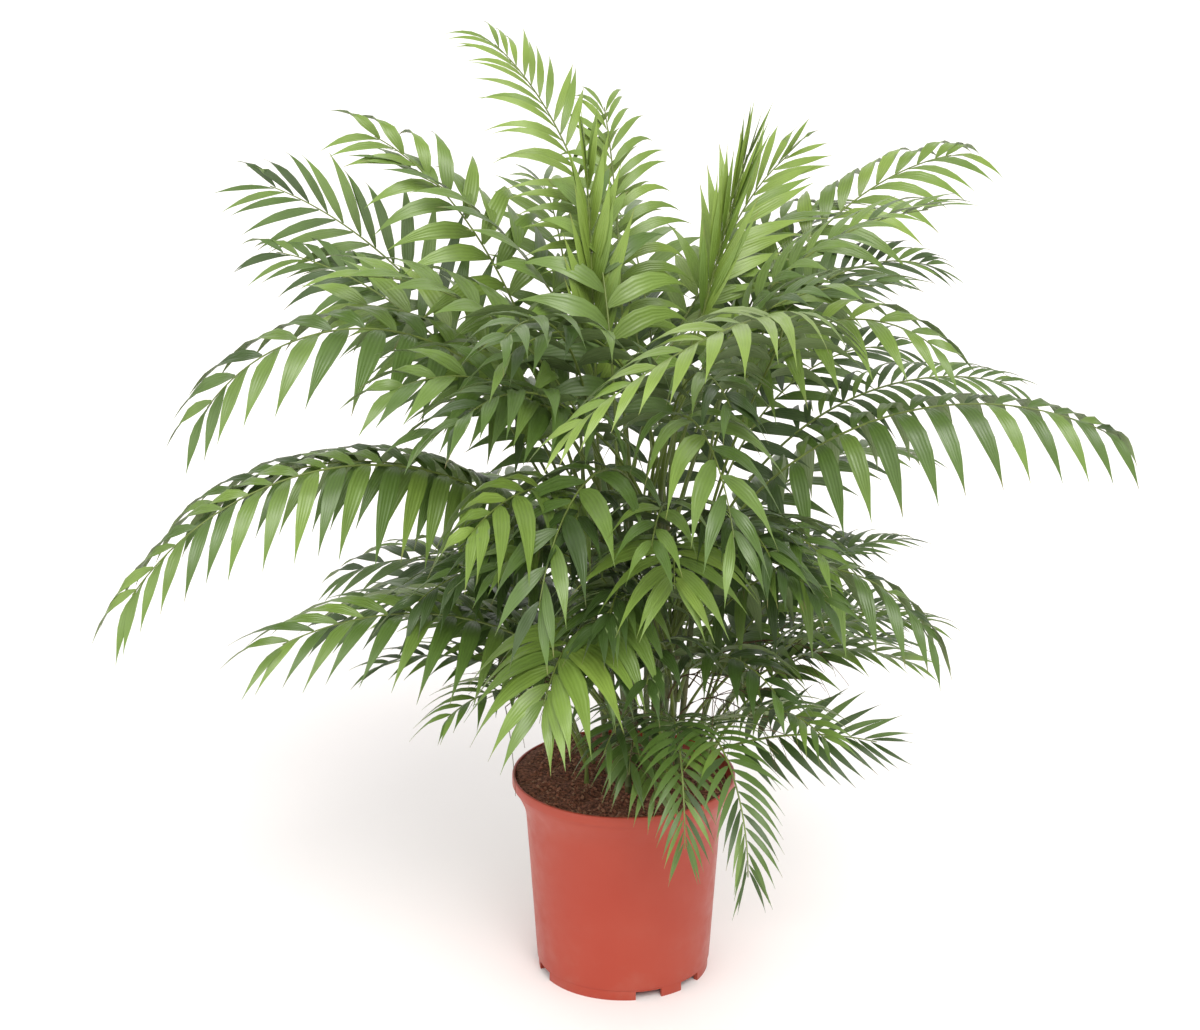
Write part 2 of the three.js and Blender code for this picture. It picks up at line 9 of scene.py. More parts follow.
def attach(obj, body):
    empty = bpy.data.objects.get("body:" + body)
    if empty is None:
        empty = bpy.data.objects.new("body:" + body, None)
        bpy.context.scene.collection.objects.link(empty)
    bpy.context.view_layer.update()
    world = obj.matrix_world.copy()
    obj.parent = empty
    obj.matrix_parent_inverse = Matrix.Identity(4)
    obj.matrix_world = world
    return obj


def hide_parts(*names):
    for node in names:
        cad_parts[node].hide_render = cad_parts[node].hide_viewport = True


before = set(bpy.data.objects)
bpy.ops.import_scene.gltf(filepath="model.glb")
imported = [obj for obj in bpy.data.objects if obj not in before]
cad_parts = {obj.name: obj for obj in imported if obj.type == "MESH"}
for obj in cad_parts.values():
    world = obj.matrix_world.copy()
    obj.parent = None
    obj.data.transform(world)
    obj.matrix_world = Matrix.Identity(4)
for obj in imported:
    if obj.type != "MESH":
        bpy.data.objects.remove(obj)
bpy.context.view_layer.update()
bpy.ops.object.select_all(action="DESELECT")

# ------------------------------------------------------------
# What the palm stands on and how it is seen: a pale sweep of studio paper, a long lens held a little
# above the plant and tilted down at it, a broad soft key light high on the right and two fills.

STUDIO_FLOOR_SIZE = 40.0
STUDIO_PAPER = (0.90, 0.875, 0.87, 1.0)
STUDIO_PAPER_ROUGHNESS = 0.9
CAMERA_PLACE = (-0.026, -3.0, 1.55)
CAMERA_DOWN_DEG = 18.8
CAMERA_LENS_MM = 89.2
CAMERA_SENSOR_MM = 36.0
CAMERA_REACH = 50.0
# Each light's place, its strength, the width of its disc in degrees and its colour
STUDIO_LIGHTS = {
    "key_light": ((0.7, -2.3, 2.5), 2.4, 36.0, (1.0, 0.985, 0.955)),
    "fill_light": ((-2.4, -1.6, 1.5), 0.9, 60.0, (1.0, 0.99, 0.97)),
    "back_light": ((0.2, 2.4, 2.2), 0.5, 60.0, (1.0, 0.99, 0.97)),
}
ROOM_BRIGHTNESS = 0.75
ROOM_TINT = (1.0, 0.985, 0.98, 1.0)

camera_data = bpy.data.cameras.new("camera")
camera_data.lens = CAMERA_LENS_MM
camera_data.sensor_width = CAMERA_SENSOR_MM
camera_data.clip_end = CAMERA_REACH
camera = bpy.data.objects.new("camera", camera_data)
camera.location = CAMERA_PLACE
camera.rotation_euler = (math.radians(90 - CAMERA_DOWN_DEG), 0, 0)
bpy.context.scene.collection.objects.link(camera)
bpy.context.scene.camera = camera

for light_name, (place, strength, spread, colour) in STUDIO_LIGHTS.items():
    light_data = bpy.data.lights.new(light_name, "SUN")
    light_data.energy = strength
    light_data.angle = math.radians(spread)
    light_data.color = colour
    light = bpy.data.objects.new(light_name, light_data)
    light.location = place
    light.rotation_euler = (-Vector(place)).to_track_quat("-Z", "Y").to_euler()
    bpy.context.scene.collection.objects.link(light)

room = bpy.data.worlds.new("room")
room.use_nodes = True
room.node_tree.nodes["Background"].inputs["Color"].default_value = ROOM_TINT
room.node_tree.nodes["Background"].inputs["Strength"].default_value = ROOM_BRIGHTNESS
bpy.context.scene.world = room
bpy.context.scene.view_settings.view_transform = "Standard"

bpy.ops.mesh.primitive_plane_add(size=STUDIO_FLOOR_SIZE)
floor = bpy.context.object
floor.name = "studio_floor"
paper = bpy.data.materials.new("studio_paper")
paper.use_nodes = True
paper.node_tree.nodes["Principled BSDF"].inputs["Base Color"].default_value = STUDIO_PAPER
paper.node_tree.nodes["Principled BSDF"].inputs["Roughness"].default_value = STUDIO_PAPER_ROUGHNESS
floor.data.materials.append(paper)

# ------------------------------------------------------------
# The pot: a 24 cm nursery pot, injection-moulded in one shot from terracotta-coloured polypropylene.
# Its wall is 1.8 mm thick and flares out under a rolled lip; a low ring of six feet lets it drain.

MM = 0.001
POT_SEGMENTS = 96
POT_HEIGHT = 231.0
POT_FOOT_RADIUS = 94.5
POT_FOOT_HEIGHT = 12.0
POT_RING_WIDTH = 5.0
POT_RING_BEVEL = 0.6
POT_LIP_RADIUS = 122.5
# Radius and height up the outside, from the foot ring to the top of the lip
POT_OUTSIDE = [(94.2, 0.0), (94.5, 0.6), (94.5, 12.0), (95.9, 12.6), (96.1, 13.6), (100.0, 74.0),
               (104.0, 136.0), (107.2, 182.0), (107.9, 188.0), (109.6, 195.5), (113.2, 204.5),
               (117.6, 213.5), (119.3, 218.6), (119.5, 219.7), (122.1, 220.1), (122.5, 221.0),
               (122.5, 229.0), (121.9, 230.5), (120.9, 231.0)]
# The same down the inside, from the top of the lip to the pot's floor
POT_INSIDE = [(119.9, 231.0), (119.2, 230.2), (118.9, 221.0), (117.0, 216.5), (111.7, 206.0),
              (107.2, 195.0), (105.7, 186.0), (100.0, 100.0), (94.6, 16.0), (92.0, 13.8)]
POT_NOTCH_HEIGHT = 10.0
POT_NOTCH_SWEEP_DEG = 18.0
POT_NOTCH_TURNS = (39, 73)
POT_NOTCH_REPEATS = 3
POT_COLOUR = (0.350, 0.040, 0.018)
POT_COLOUR_WORN = (0.385, 0.060, 0.032)
POT_COLOUR_DUSTY = (0.36, 0.12, 0.085)
# How fine the wear, the dust, the sheen and the grain are
POT_WEAR_SCALE = 9.0
POT_DUST_SCALE = 38.0
POT_SHEEN_SCALE = 60.0
POT_GRAIN_SCALE = 520.0
# Metres up the wall between which the dust grows from nothing to its most, and that most
POT_DUST_TOP = 0.10
POT_DUST_FOOT = 0.01
POT_DUST_MOST = 0.25
POT_ROUGHNESS = (0.34, 0.52)
POT_GRAIN_DEPTH = 0.0004
POT_CREASE_DEG = 32


class Wire:
    """A socket of a material. Sums and products of wires add their own Math nodes."""

    def __init__(self, tree, socket):
        self.tree = tree
        self.socket = socket

    def node(self, kind, settings=None, inputs=None, output=0):
        """Any other node: its settings are set first, then its sockets are filled or linked."""
        made = self.tree.nodes.new(kind)
        for name, value in (settings or {}).items():
            setattr(made, name, value)
        for name, value in (inputs or {}).items():
            if isinstance(value, Wire):
                self.tree.links.new(value.socket, made.inputs[name])
            else:
                made.inputs[name].default_value = value
        return Wire(self.tree, made.outputs[output])

    def __add__(self, other):
        return self.node("ShaderNodeMath", {"operation": "ADD"}, {0: self, 1: other})

    def __mul__(self, other):
        return self.node("ShaderNodeMath", {"operation": "MULTIPLY"}, {0: self, 1: other})

    def clamped(self, low, high, to_low=0.0, to_high=1.0):
        """The wire's range from low to high, stretched to run from to_low to to_high."""
        return self.node("ShaderNodeMapRange", {"clamp": True}, {
            "Value": self, "From Min": low, "From Max": high, "To Min": to_low, "To Max": to_high})

    def noise(self, scale, detail=2.0):
        return self.node("ShaderNodeTexNoise", None, {"Vector": self, "Scale": scale, "Detail": detail})

    def blend(self, first, second):
        """A colour that runs from first to second as this wire runs from 0 to 1."""
        return self.node("ShaderNodeMix", {"data_type": "RGBA"}, {0: self, 6: first, 7: second}, 2)


def new_finish(name, **constants):
    """A material with its constant sockets set. Gives it, its shader and its Object coordinates."""
    material = bpy.data.materials.new(name)
    material.use_nodes = True
    tree = material.node_tree
    shader = tree.nodes["Principled BSDF"]
    for socket, value in constants.items():
        shader.inputs[socket.replace("_", " ")].default_value = value
    place = Wire(tree, tree.nodes.new("ShaderNodeTexCoord").outputs["Object"])
    return material, shader, place


def feed(shader, **wires):
    for socket, wire in wires.items():
        wire.tree.links.new(wire.socket, shader.inputs[socket.replace("_", " ")])


def opaque(colour):
    return (*colour, 1.0)


def relief(height, strength, distance):
    """A Bump node fed by a height."""
    return height.node("ShaderNodeBump", None, {
        "Strength": strength, "Distance": distance, "Height": height})


def take(piece):
    """Makes a piece the only selected one, and the active one."""
    bpy.ops.object.select_all(action="DESELECT")
    piece.select_set(True)
    bpy.context.view_layer.objects.active = piece


def soften(piece, crease_deg):
    """Shades a piece smooth, but for the edges that bend by more than crease_deg."""
    take(piece)
    bpy.ops.object.shade_smooth_by_angle(angle=math.radians(crease_deg))


def settle(name, piece, slot, *nodes):
    """Puts a finished piece at the origin, rides it on the palm and hides the parts it stands for. Its
    slot is not used.
    """
    take(piece)
    bpy.ops.object.transform_apply(location=True, rotation=True, scale=True)
    piece.name = name
    piece.data.name = name
    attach(piece, "root")
    if nodes:
        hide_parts(*nodes)


def turned_solid(name, profile, segments):
    """A closed body of revolution: a ring is added, then extruded and resized from one profile
    point to the next, and its two ends are filled."""
    radius, height = profile[0]
    bpy.ops.mesh.primitive_circle_add(
        vertices=segments, radius=radius * MM, fill_type="NGON", location=(0, 0, height * MM))
    body = bpy.context.object
    body.name = name
    bpy.ops.object.transform_apply(location=True)
    bpy.ops.object.mode_set(mode="EDIT")
    bpy.ops.mesh.select_mode(type="EDGE")
    bpy.ops.mesh.select_all(action="SELECT")
    for (radius, height), (next_radius, next_height) in zip(profile, profile[1:]):
        bpy.ops.mesh.extrude_edges_move(
            TRANSFORM_OT_translate={"value": (0, 0, (next_height - height) * MM)})
        ratio = next_radius / radius
        bpy.ops.transform.resize(value=(ratio, ratio, 1), center_override=(0, 0, next_height * MM))
    bpy.ops.mesh.edge_face_add()
    bpy.ops.mesh.select_all(action="SELECT")
    bpy.ops.mesh.normals_make_consistent(inside=False)
    bpy.ops.object.mode_set(mode="OBJECT")
    return body


ring_inside = POT_FOOT_RADIUS - POT_RING_WIDTH
pot_underside = [(ring_inside, POT_FOOT_HEIGHT), (ring_inside, POT_RING_BEVEL),
                 (ring_inside + POT_RING_BEVEL / 2, 0.0)]
pot = turned_solid("pot_body", pot_underside + POT_OUTSIDE + POT_INSIDE, POT_SEGMENTS)

notch_width = 2 * POT_FOOT_RADIUS * math.sin(math.radians(POT_NOTCH_SWEEP_DEG / 2))
for repeat in range(POT_NOTCH_REPEATS):
    for turn in POT_NOTCH_TURNS:
        angle = math.radians(-turn - repeat * 360 / POT_NOTCH_REPEATS)
        across = (POT_FOOT_RADIUS - POT_RING_WIDTH / 2) * MM
        bpy.ops.mesh.primitive_cube_add(
            size=1, location=(across * math.cos(angle), across * math.sin(angle), 0),
            rotation=(0, 0, angle),
            scale=(4 * POT_RING_WIDTH * MM, notch_width * MM, 2 * POT_NOTCH_HEIGHT * MM))
        notch = bpy.context.object
        cut = pot.modifiers.new("drain_notch", "BOOLEAN")
        cut.object = notch
        cut.operation = "DIFFERENCE"
        cut.solver = "EXACT"
        bpy.context.view_layer.objects.active = pot
        bpy.ops.object.modifier_apply(modifier=cut.name)
        bpy.data.objects.remove(notch)
soften(pot, POT_CREASE_DEG)

plastic, plastic_shader, plastic_place = new_finish(
    "terracotta_plastic", Specular_IOR_Level=0.5, IOR=1.46)
wear = plastic_place.noise(POT_WEAR_SCALE, 3.0).clamped(0.35, 0.68, 0.0, 0.6)
height_up = plastic_place.node("ShaderNodeSeparateXYZ", None, {"Vector": plastic_place}, 2)
low_down = height_up.clamped(POT_DUST_TOP, POT_DUST_FOOT, 0.0, POT_DUST_MOST)
dust = plastic_place.noise(POT_DUST_SCALE, 4.0).clamped(0.52, 0.72) * low_down
clean = wear.blend(opaque(POT_COLOUR), opaque(POT_COLOUR_WORN))
feed(plastic_shader, Base_Color=dust.blend(clean, opaque(POT_COLOUR_DUSTY)),
     Roughness=plastic_place.noise(POT_SHEEN_SCALE, 3.0).clamped(0.3, 0.75, *POT_ROUGHNESS),
     Normal=relief(plastic_place.noise(POT_GRAIN_SCALE), 0.10, POT_GRAIN_DEPTH))
pot.data.materials.append(plastic)
settle("pot_body", pot, "pot", "pot")

# ------------------------------------------------------------
# The soil: moist dark peat with bark fibre, poured in out to the pot's wall, to just under the lip,
# and heaped a little at the back left. Crumbs and fibres lie loose on its top.

SOIL_SIDE = [(91.4, 14.1), (93.4, 15.5), (105.0, 186.0), (108.0, 203.0), (113.6, 212.0)]
SOIL_TOP = 217.0
SOIL_TOP_RINGS = 34
SOIL_SEGMENTS = 132
SOIL_RIM_RADIUS = 113.6
SOIL_WALL_GAP = 0.5
SOIL_HEAP_TURN_DEG = 140
SOIL_HEAP_RISE = 16.0
SOIL_HEAP_SHAPE = 0.8
SOIL_BED = 0.8
SOIL_LUMP = 1.28
# Lengths of the broad, middle and fine lumps along x and y, and the shares of the last two
BROAD_LUMP = (9.1, 7.7)
MIDDLE_LUMP = (4.3, 5.9)
FINE_LUMP = (2.3, 2.9)
MIDDLE_LUMP_SHARE = 0.6
FINE_LUMP_SHARE = 0.35
# How far the soil sinks at its edge. The higher a power, the nearer the edge its change starts
SOIL_EDGE_SINK = 3.0
SOIL_SINK_POWER = 6
SOIL_EDGE_POWER = 8
# The loose bits, in millimetres, their tilts and turns in radians
CRUMB_COUNT = 900
CRUMB_SIZE = (0.7, 3.2)
CRUMB_SHAPE = (1.0, 0.8, 0.7)
CRUMB_TILT = 0.3
CRUMB_LIFT = 0.25
FIBRE_COUNT = 260
FIBRE_LENGTH = (3.0, 8.0)
FIBRE_SECTION = (0.35, 0.3)
FIBRE_TILT = 0.25
FIBRE_LIFT = 0.9
BIT_UNEVEN = (0.8, 1.15)
BIT_TURN = 6.3
BIT_EDGE_GAP = 5
PEAT_DARK = (0.062, 0.024, 0.016)
PEAT_RED = (0.262, 0.098, 0.057)
PEAT_FIBRE = (0.30, 0.180, 0.115)
PEAT_GRAIN_SCALE = 300.0
PEAT_FLECK_SCALE = 900.0
PEAT_GRAIN_DEPTH = 0.003
BARK_GRAIN_SCALE = 160.0


def soil_level(x, y):
    """Height of the soil's top in millimetres at a place on it."""
    distance = math.hypot(x, y)
    toward = (x * math.cos(math.radians(SOIL_HEAP_TURN_DEG))
              + y * math.sin(math.radians(SOIL_HEAP_TURN_DEG))) / SOIL_RIM_RADIUS
    heap = SOIL_HEAP_RISE * max(0.0, toward) ** SOIL_HEAP_SHAPE
    broad = math.sin(x / BROAD_LUMP[0] + 1.3) * math.sin(y / BROAD_LUMP[1])
    middle = math.sin(x / MIDDLE_LUMP[0] - y / MIDDLE_LUMP[1])
    fine = math.sin(x / FINE_LUMP[0] + y / FINE_LUMP[1])
    lumps = SOIL_LUMP * (broad + MIDDLE_LUMP_SHARE * middle + FINE_LUMP_SHARE * fine)
    sunk = SOIL_EDGE_SINK * min(1.0, distance / SOIL_RIM_RADIUS) ** SOIL_SINK_POWER
    return SOIL_TOP + SOIL_BED + heap + lumps - sunk


def pot_wall_inside(height):
    """Radius of the pot's inner wall at a height near its lip."""
    for (high_radius, high), (low_radius, low) in zip(POT_INSIDE, POT_INSIDE[1:]):
        if low <= height <= high:
            return low_radius + (high_radius - low_radius) * (height - low) / (high - low)
    return SOIL_RIM_RADIUS


top_rings = [(SOIL_RIM_RADIUS * (1 - ring / SOIL_TOP_RINGS), SOIL_TOP)
             for ring in range(SOIL_TOP_RINGS)]
soil = turned_solid("soil_body", SOIL_SIDE + top_rings, SOIL_SEGMENTS)
above_side = (SOIL_SIDE[-1][1] + SOIL_TOP) / 2 * MM
for vertex in soil.data.vertices:
    if vertex.co.z > above_side:
        level = soil_level(vertex.co.x / MM, vertex.co.y / MM)
        edge = (math.hypot(vertex.co.x, vertex.co.y) / (SOIL_RIM_RADIUS * MM)) ** SOIL_EDGE_POWER
        stretch = 1 + ((pot_wall_inside(level) - SOIL_WALL_GAP) / SOIL_RIM_RADIUS - 1) * edge
        vertex.co = (vertex.co.x * stretch, vertex.co.y * stretch, level * MM)
soil.data.shade_smooth()

peat, peat_shader, peat_place = new_finish("moist_peat", Specular_IOR_Level=0.25)
grain = peat_place.noise(PEAT_GRAIN_SCALE, 4.0)
tone = grain.clamped(0.36, 0.66)
wet = tone.blend(opaque(PEAT_DARK), opaque(PEAT_RED))
flecks = peat_place.noise(PEAT_FLECK_SCALE).clamped(0.66, 0.72)
feed(peat_shader, Base_Color=flecks.blend(wet, opaque(PEAT_FIBRE)),
     Roughness=tone.clamped(0.0, 1.0, 0.95, 0.7),
     Normal=relief(grain, 0.9, PEAT_GRAIN_DEPTH))
soil.data.materials.append(peat)
settle("soil_body", soil, "soil", "soil")

scatter = random.Random(24)
crumb_points = []
crumb_faces = []


def laid_out(name, points, faces):
    """A new piece from its corners, in metres, and its faces."""
    mesh = bpy.data.meshes.new(name)
    mesh.from_pydata(points, [], faces)
    piece = bpy.data.objects.new(name, mesh)
    bpy.context.scene.collection.objects.link(piece)
    return piece


def drop_bit(x, y, lengths, turn, tilt, lift):
    """One crumb or fibre: a squashed eight-sided bit laid on the soil."""
    first = len(crumb_points)
    spin = Matrix.Rotation(turn, 3, "Z") @ Matrix.Rotation(tilt, 3, "Y")
    centre = Vector((x, y, soil_level(x, y) + lift))
    for axis in range(3):
        for sign in (-1, 1):
            corner = Vector((0, 0, 0))
            corner[axis] = sign * lengths[axis] * scatter.uniform(*BIT_UNEVEN)
            crumb_points.append((centre + spin @ corner) * MM)
    left, right, front, back, low, high = range(first, first + 6)
    crumb_faces.extend([
        (right, back, high), (back, left, high), (left, front, high), (front, right, high),
        (back, right, low), (left, back, low), (front, left, low), (right, front, low)])


for bit in range(CRUMB_COUNT + FIBRE_COUNT):
    distance = (SOIL_RIM_RADIUS - BIT_EDGE_GAP) * math.sqrt(scatter.random())
    bearing = scatter.uniform(0, 2 * math.pi)
    spot = (distance * math.cos(bearing), distance * math.sin(bearing))
    if bit < CRUMB_COUNT:
        size = scatter.uniform(*CRUMB_SIZE)
        drop_bit(*spot, [size * share for share in CRUMB_SHAPE], scatter.uniform(0, BIT_TURN),
                 CRUMB_TILT, size * CRUMB_LIFT)
    else:
        drop_bit(*spot, (scatter.uniform(*FIBRE_LENGTH), *FIBRE_SECTION), scatter.uniform(0, BIT_TURN),
                 scatter.uniform(-FIBRE_TILT, FIBRE_TILT), FIBRE_LIFT)

crumbs = laid_out("soil_crumbs", crumb_points, crumb_faces)
bark_bit, bark_shader, bark_place = new_finish("bark_crumb", Specular_IOR_Level=0.3)
bark_tone = bark_place.noise(BARK_GRAIN_SCALE)
feed(bark_shader,
     Base_Color=bark_tone.clamped(0.4, 0.65).blend(opaque(PEAT_RED), opaque(PEAT_FIBRE)),
     Roughness=bark_tone.clamped(0.3, 0.7, 0.75, 0.95))
crumbs.data.materials.append(bark_bit)
settle("soil_crumbs", crumbs, "soil")

# ------------------------------------------------------------
# The canes: twelve thin green stems that stand in a spiral clump and lean outwards. Each is ringed
# by the scars where old fronds fell off, about a finger's breadth apart.

CLUMP_X = 22.0
CLUMP_Y = 4.0
CLUMP_RADIUS = 46.0
CANE_LEAN_DEG = 6.0
CANE_FOOT_RADIUS = 3.8
CANE_TOP_RADIUS = 2.8
CANE_HEIGHTS = (340, 335, 325, 335, 335, 195, 325, 330, 295, 315, 180, 290)
CANE_SIDES = 12
GOLDEN_ANGLE = 137.508
FIT = 0.3
RING_SPACING = (13.0, 24.0)
FIRST_RING = (6, 14)
CANE_BARE_TOP = 10
# Height over a scar and the cane's width there, as a share of its width between scars
RING_BULGE = 0.55 / CANE_FOOT_RADIUS
RING_PROFILE = ((-1.2, 1.0), (-0.4, 1.0 + RING_BULGE), (0.5, 1.0 + 0.8 * RING_BULGE), (1.6, 0.96))
CANE_GREEN = (0.050, 0.085, 0.022)
CANE_PALE = (0.110, 0.135, 0.045)
CANE_SCAR = (0.16, 0.115, 0.055)
CANE_STREAKS = (220.0, 220.0, 14.0)
CANE_STREAK_DEPTH = 0.0006
CANE_BLOTCH_SCALE = 70.0
CANE_BLOTCH_MOST = 0.55
CANE_CREASE_DEG = 40


def mixed(first, last, share):
    return first + (last - first) * share


def cane_line(index):
    """Foot, outward direction and slope of a cane."""
    radius = CLUMP_RADIUS * math.sqrt((index + 0.5) / len(CANE_HEIGHTS))
    turn = math.radians(index * GOLDEN_ANGLE)
    outward = Vector((math.cos(turn), math.sin(turn), 0))
    slope = math.tan(math.radians(CANE_LEAN_DEG)) * radius / CLUMP_RADIUS
    foot = Vector((CLUMP_X, CLUMP_Y, SOIL_TOP + FIT)) + outward * radius
    return foot, outward, slope


def cane_centre(index, rise):
    foot, outward, slope = cane_line(index)
    return foot + outward * (slope * rise) + Vector((0, 0, rise))


def grow_cane(index, chance):
    """A cane from its foot up: extruded from ring to ring, swollen at each."""
    height = CANE_HEIGHTS[index]
    levels = [(0.0, 1.0)]
    rise = chance.uniform(*FIRST_RING)
    while rise < height - CANE_BARE_TOP:
        levels += [(rise + above, swell) for above, swell in RING_PROFILE]
        rise += chance.uniform(*RING_SPACING)
    levels.append((height, 1.0))
    foot, outward, slope = cane_line(index)
    bpy.ops.mesh.primitive_circle_add(
        vertices=CANE_SIDES, radius=CANE_FOOT_RADIUS * MM, fill_type="NGON", location=foot * MM)
    cane = bpy.context.object
    bpy.ops.object.transform_apply(location=True)
    bpy.ops.object.mode_set(mode="EDIT")
    bpy.ops.mesh.select_mode(type="FACE")
    bpy.ops.mesh.select_all(action="SELECT")
    width = CANE_FOOT_RADIUS
    for (low, _), (high, swell) in zip(levels, levels[1:]):
        step = (outward * slope + Vector((0, 0, 1))) * (high - low)
        bpy.ops.mesh.extrude_region_move(TRANSFORM_OT_translate={"value": step * MM})
        next_width = mixed(CANE_FOOT_RADIUS, CANE_TOP_RADIUS, high / height) * swell
        ratio = next_width / width
        bpy.ops.transform.resize(
            value=(ratio, ratio, 1), center_override=cane_centre(index, high) * MM)
        width = next_width
    bpy.ops.mesh.select_all(action="SELECT")
    bpy.ops.mesh.normals_make_consistent(inside=False)
    bpy.ops.object.mode_set(mode="OBJECT")
    return cane


grown_canes = [grow_cane(index, random.Random(f"cane {index}")) for index in range(len(CANE_HEIGHTS))]
canes = grown_canes[0]
take(canes)
for cane in grown_canes:
    cane.select_set(True)
bpy.ops.object.join()
soften(canes, CANE_CREASE_DEG)

cane_skin, cane_shader, cane_place = new_finish("cane_skin", Specular_IOR_Level=0.45)
streaks = cane_place.node("ShaderNodeMapping", None, {
    "Vector": cane_place, "Scale": CANE_STREAKS}).noise(1.0, 3.0)
blotches = cane_place.noise(CANE_BLOTCH_SCALE).clamped(0.42, 0.7) * CANE_BLOTCH_MOST
green = streaks.clamped(0.35, 0.65).blend(opaque(CANE_GREEN), opaque(CANE_PALE))
feed(cane_shader, Base_Color=blotches.blend(green, opaque(CANE_SCAR)),
     Roughness=streaks.clamped(0.3, 0.7, 0.42, 0.62),
     Normal=relief(streaks, 0.35, CANE_STREAK_DEPTH))
canes.data.materials.append(cane_skin)
settle("canes_ringed", canes, "cane", *[f"cane_{index + 1}" for index in range(len(CANE_HEIGHTS))])

# ------------------------------------------------------------
# The fronds: each has one thin round stalk that runs on as a midrib, arches over under its own
# weight and bears narrow pleated leaflets on both sides. They grow by one rule, written here once.

RIB_STEPS = 48
RIB_SIDES = 8
RIB_RADIUS = (1.9, 0.65)
RIB_TIP = 6.0
RIB_END = 0.01
SHEATH_FADE = 26.0
SHEATH_ON_TOP = 1.7
SHEATH_ON_SIDE = 1.1
LEAFLET_SPACING = 1.18
LEAST_PAIRS = 7
MOST_PAIRS = 22
PAIR_STAGGER = 0.42
PAIR_UNEVEN = 0.08
# Degrees between the leaflets and the midrib at the frond's foot and at its tip
SPREAD_FIRST = 64.0
SPREAD_LAST = 24.0
SPREAD_POWER = 1.2
SPREAD_UNEVEN_DEG = 6
LEAFLET_UNEVEN = (0.92, 1.04)
LEAFLET_LOSS_AT_TIP = 0.4
LEAFLET_SIZE_AT_FOOT = 0.8
LEAFLET_ROOT = 0.6
LEAFLET_RISE = 0.40
LEAFLET_CURL = 0.30
LEAFLET_DROOP = 2.3
DROOP_POWER = 1.3
HANG_LOSS_AT_TIP = 0.5
HANG_UNEVEN = (-0.10, 0.14)
# How much less a leaflet hangs where it would cut into the pot: each is tried in turn
HANG_TRIES = (0.0, -0.5, -1.0)
TWIST_UNEVEN_DEG = 11
FOLD = (0.08, 0.22)
PLEAT = 0.10
# Place along a leaflet and its width there, as a share of the widest
LEAFLET_OUTLINE = ((0.0, 0.16), (0.09, 0.58), (0.21, 0.92), (0.36, 1.0), (0.52, 0.86),
                   (0.67, 0.58), (0.80, 0.29), (0.90, 0.11), (1.0, 0.0))
WIDTH_LOSS_AT_TIP = 0.25
BLADE_THICKNESS = 0.9
BLADE_LEAST_HALF = 0.12
BLADE_CORNERS = ((0, 1), (1, 2), (2, 3), (3, 4), (4, 5), (5, 0))
BLADE_CORNERS_ACROSS = (0.0, 0.25, 0.5, 0.75, 1.0, 0.5)
UPPER_FACES = 4
FROND_CREASE_DEG = 50
# What leaflets keep clear of: the floor, the pot's wall, which flares by a power, and its lip
FLOOR_CLEARANCE = 1.0
POT_CLEARANCE = 2
POT_FLARE_POWER = 1.3
LIP_CLEARANCE = 1.5
LIP_INNER_RADIUS = 110
DOWN = Vector((0, 0, -1))
# A frond's cane, height on it, turn, climb, length, bare stalk, bend and how late it comes, sweep and
# roll, then its leaflets' length, breadth, hang and how open they stand
FROND_COLUMNS = ("cane", "rise", "turn", "lift", "length", "stalk", "bend", "late", "sweep", "roll",
                 "leaf", "broad", "hang", "open")
TOP = "top"
# A leaflet is one green darker or lighter than its frond now and then
GREEN_STEPS = (-1, 0, 0, 0, 1)
# Greens from the youngest fronds to the oldest, then the undersides and the stalk. The darkest is partly
# the green of old fronds and partly painted shade, for the fronds inside and behind the crown and low on
# its sides
LEAF_GREENS = {
    "leaf_young": (0.180, 0.272, 0.040),
    "leaf_fresh": (0.148, 0.236, 0.034),
    "leaf_full": (0.118, 0.196, 0.030),
    "leaf_deep": (0.070, 0.130, 0.018),
    "leaf_old_shaded": (0.034, 0.070, 0.009),
}
UNDERSIDE_GREEN = (0.135, 0.195, 0.066)
LEAF_TIP_TAN = (0.270, 0.200, 0.080)
STALK_GREEN = (0.150, 0.205, 0.038)
VEIN_SCALE = 1.6
VEIN_MOST = 0.30
VEIN_DEPTH = 0.0008
LEAF_DARKER = 0.62
LEAF_LIGHTER = 1.28
LEAF_LIGHTER_BY = 0.008
LEAF_CLOUD_SCALE = 26.0
LEAF_CLOUD_SHARE = 0.45
LEAF_SHEEN_SCALE = 90.0
LEAF_ROUGHNESS = 0.30
UNDERSIDE_ROUGHNESS = 0.48
ROUGHNESS_CHANGE = 0.16
SCORCH_SCALE = 13.0
SCORCH_FROM = 0.84
SCORCH_MOST = 0.7
STALK_DARKER = 0.7


def frond_foot(frond):
    """Where the midrib starts: on the cane's cut top, or just clear of its side."""
    cane = frond["cane"]
    if frond["rise"] == TOP:
        return cane_centre(cane, CANE_HEIGHTS[cane]) + Vector((0, 0, FIT))
    reach = mixed(CANE_FOOT_RADIUS, CANE_TOP_RADIUS, frond["rise"] / CANE_HEIGHTS[cane]) + FIT
    turn = math.radians(frond["turn"])
    return cane_centre(cane, frond["rise"]) + Vector((math.cos(turn), math.sin(turn), 0)) * reach


def heading(frond, along):
    """Turn and climb of the midrib at a share of its length, in radians."""
    return (math.radians(frond["turn"] + frond["sweep"] * along),
            math.radians(frond["lift"] - frond["bend"] * along ** frond["late"]))


def ahead_of(turn, climb):
    return Vector((math.cos(climb) * math.cos(turn), math.cos(climb) * math.sin(turn), math.sin(climb)))


def rib_line(frond):
    points = [frond["foot"].copy()]
    step = frond["length"] / RIB_STEPS
    for index in range(RIB_STEPS):
        points.append(points[-1] + ahead_of(*heading(frond, (index + 0.5) / RIB_STEPS)) * step)
    return points


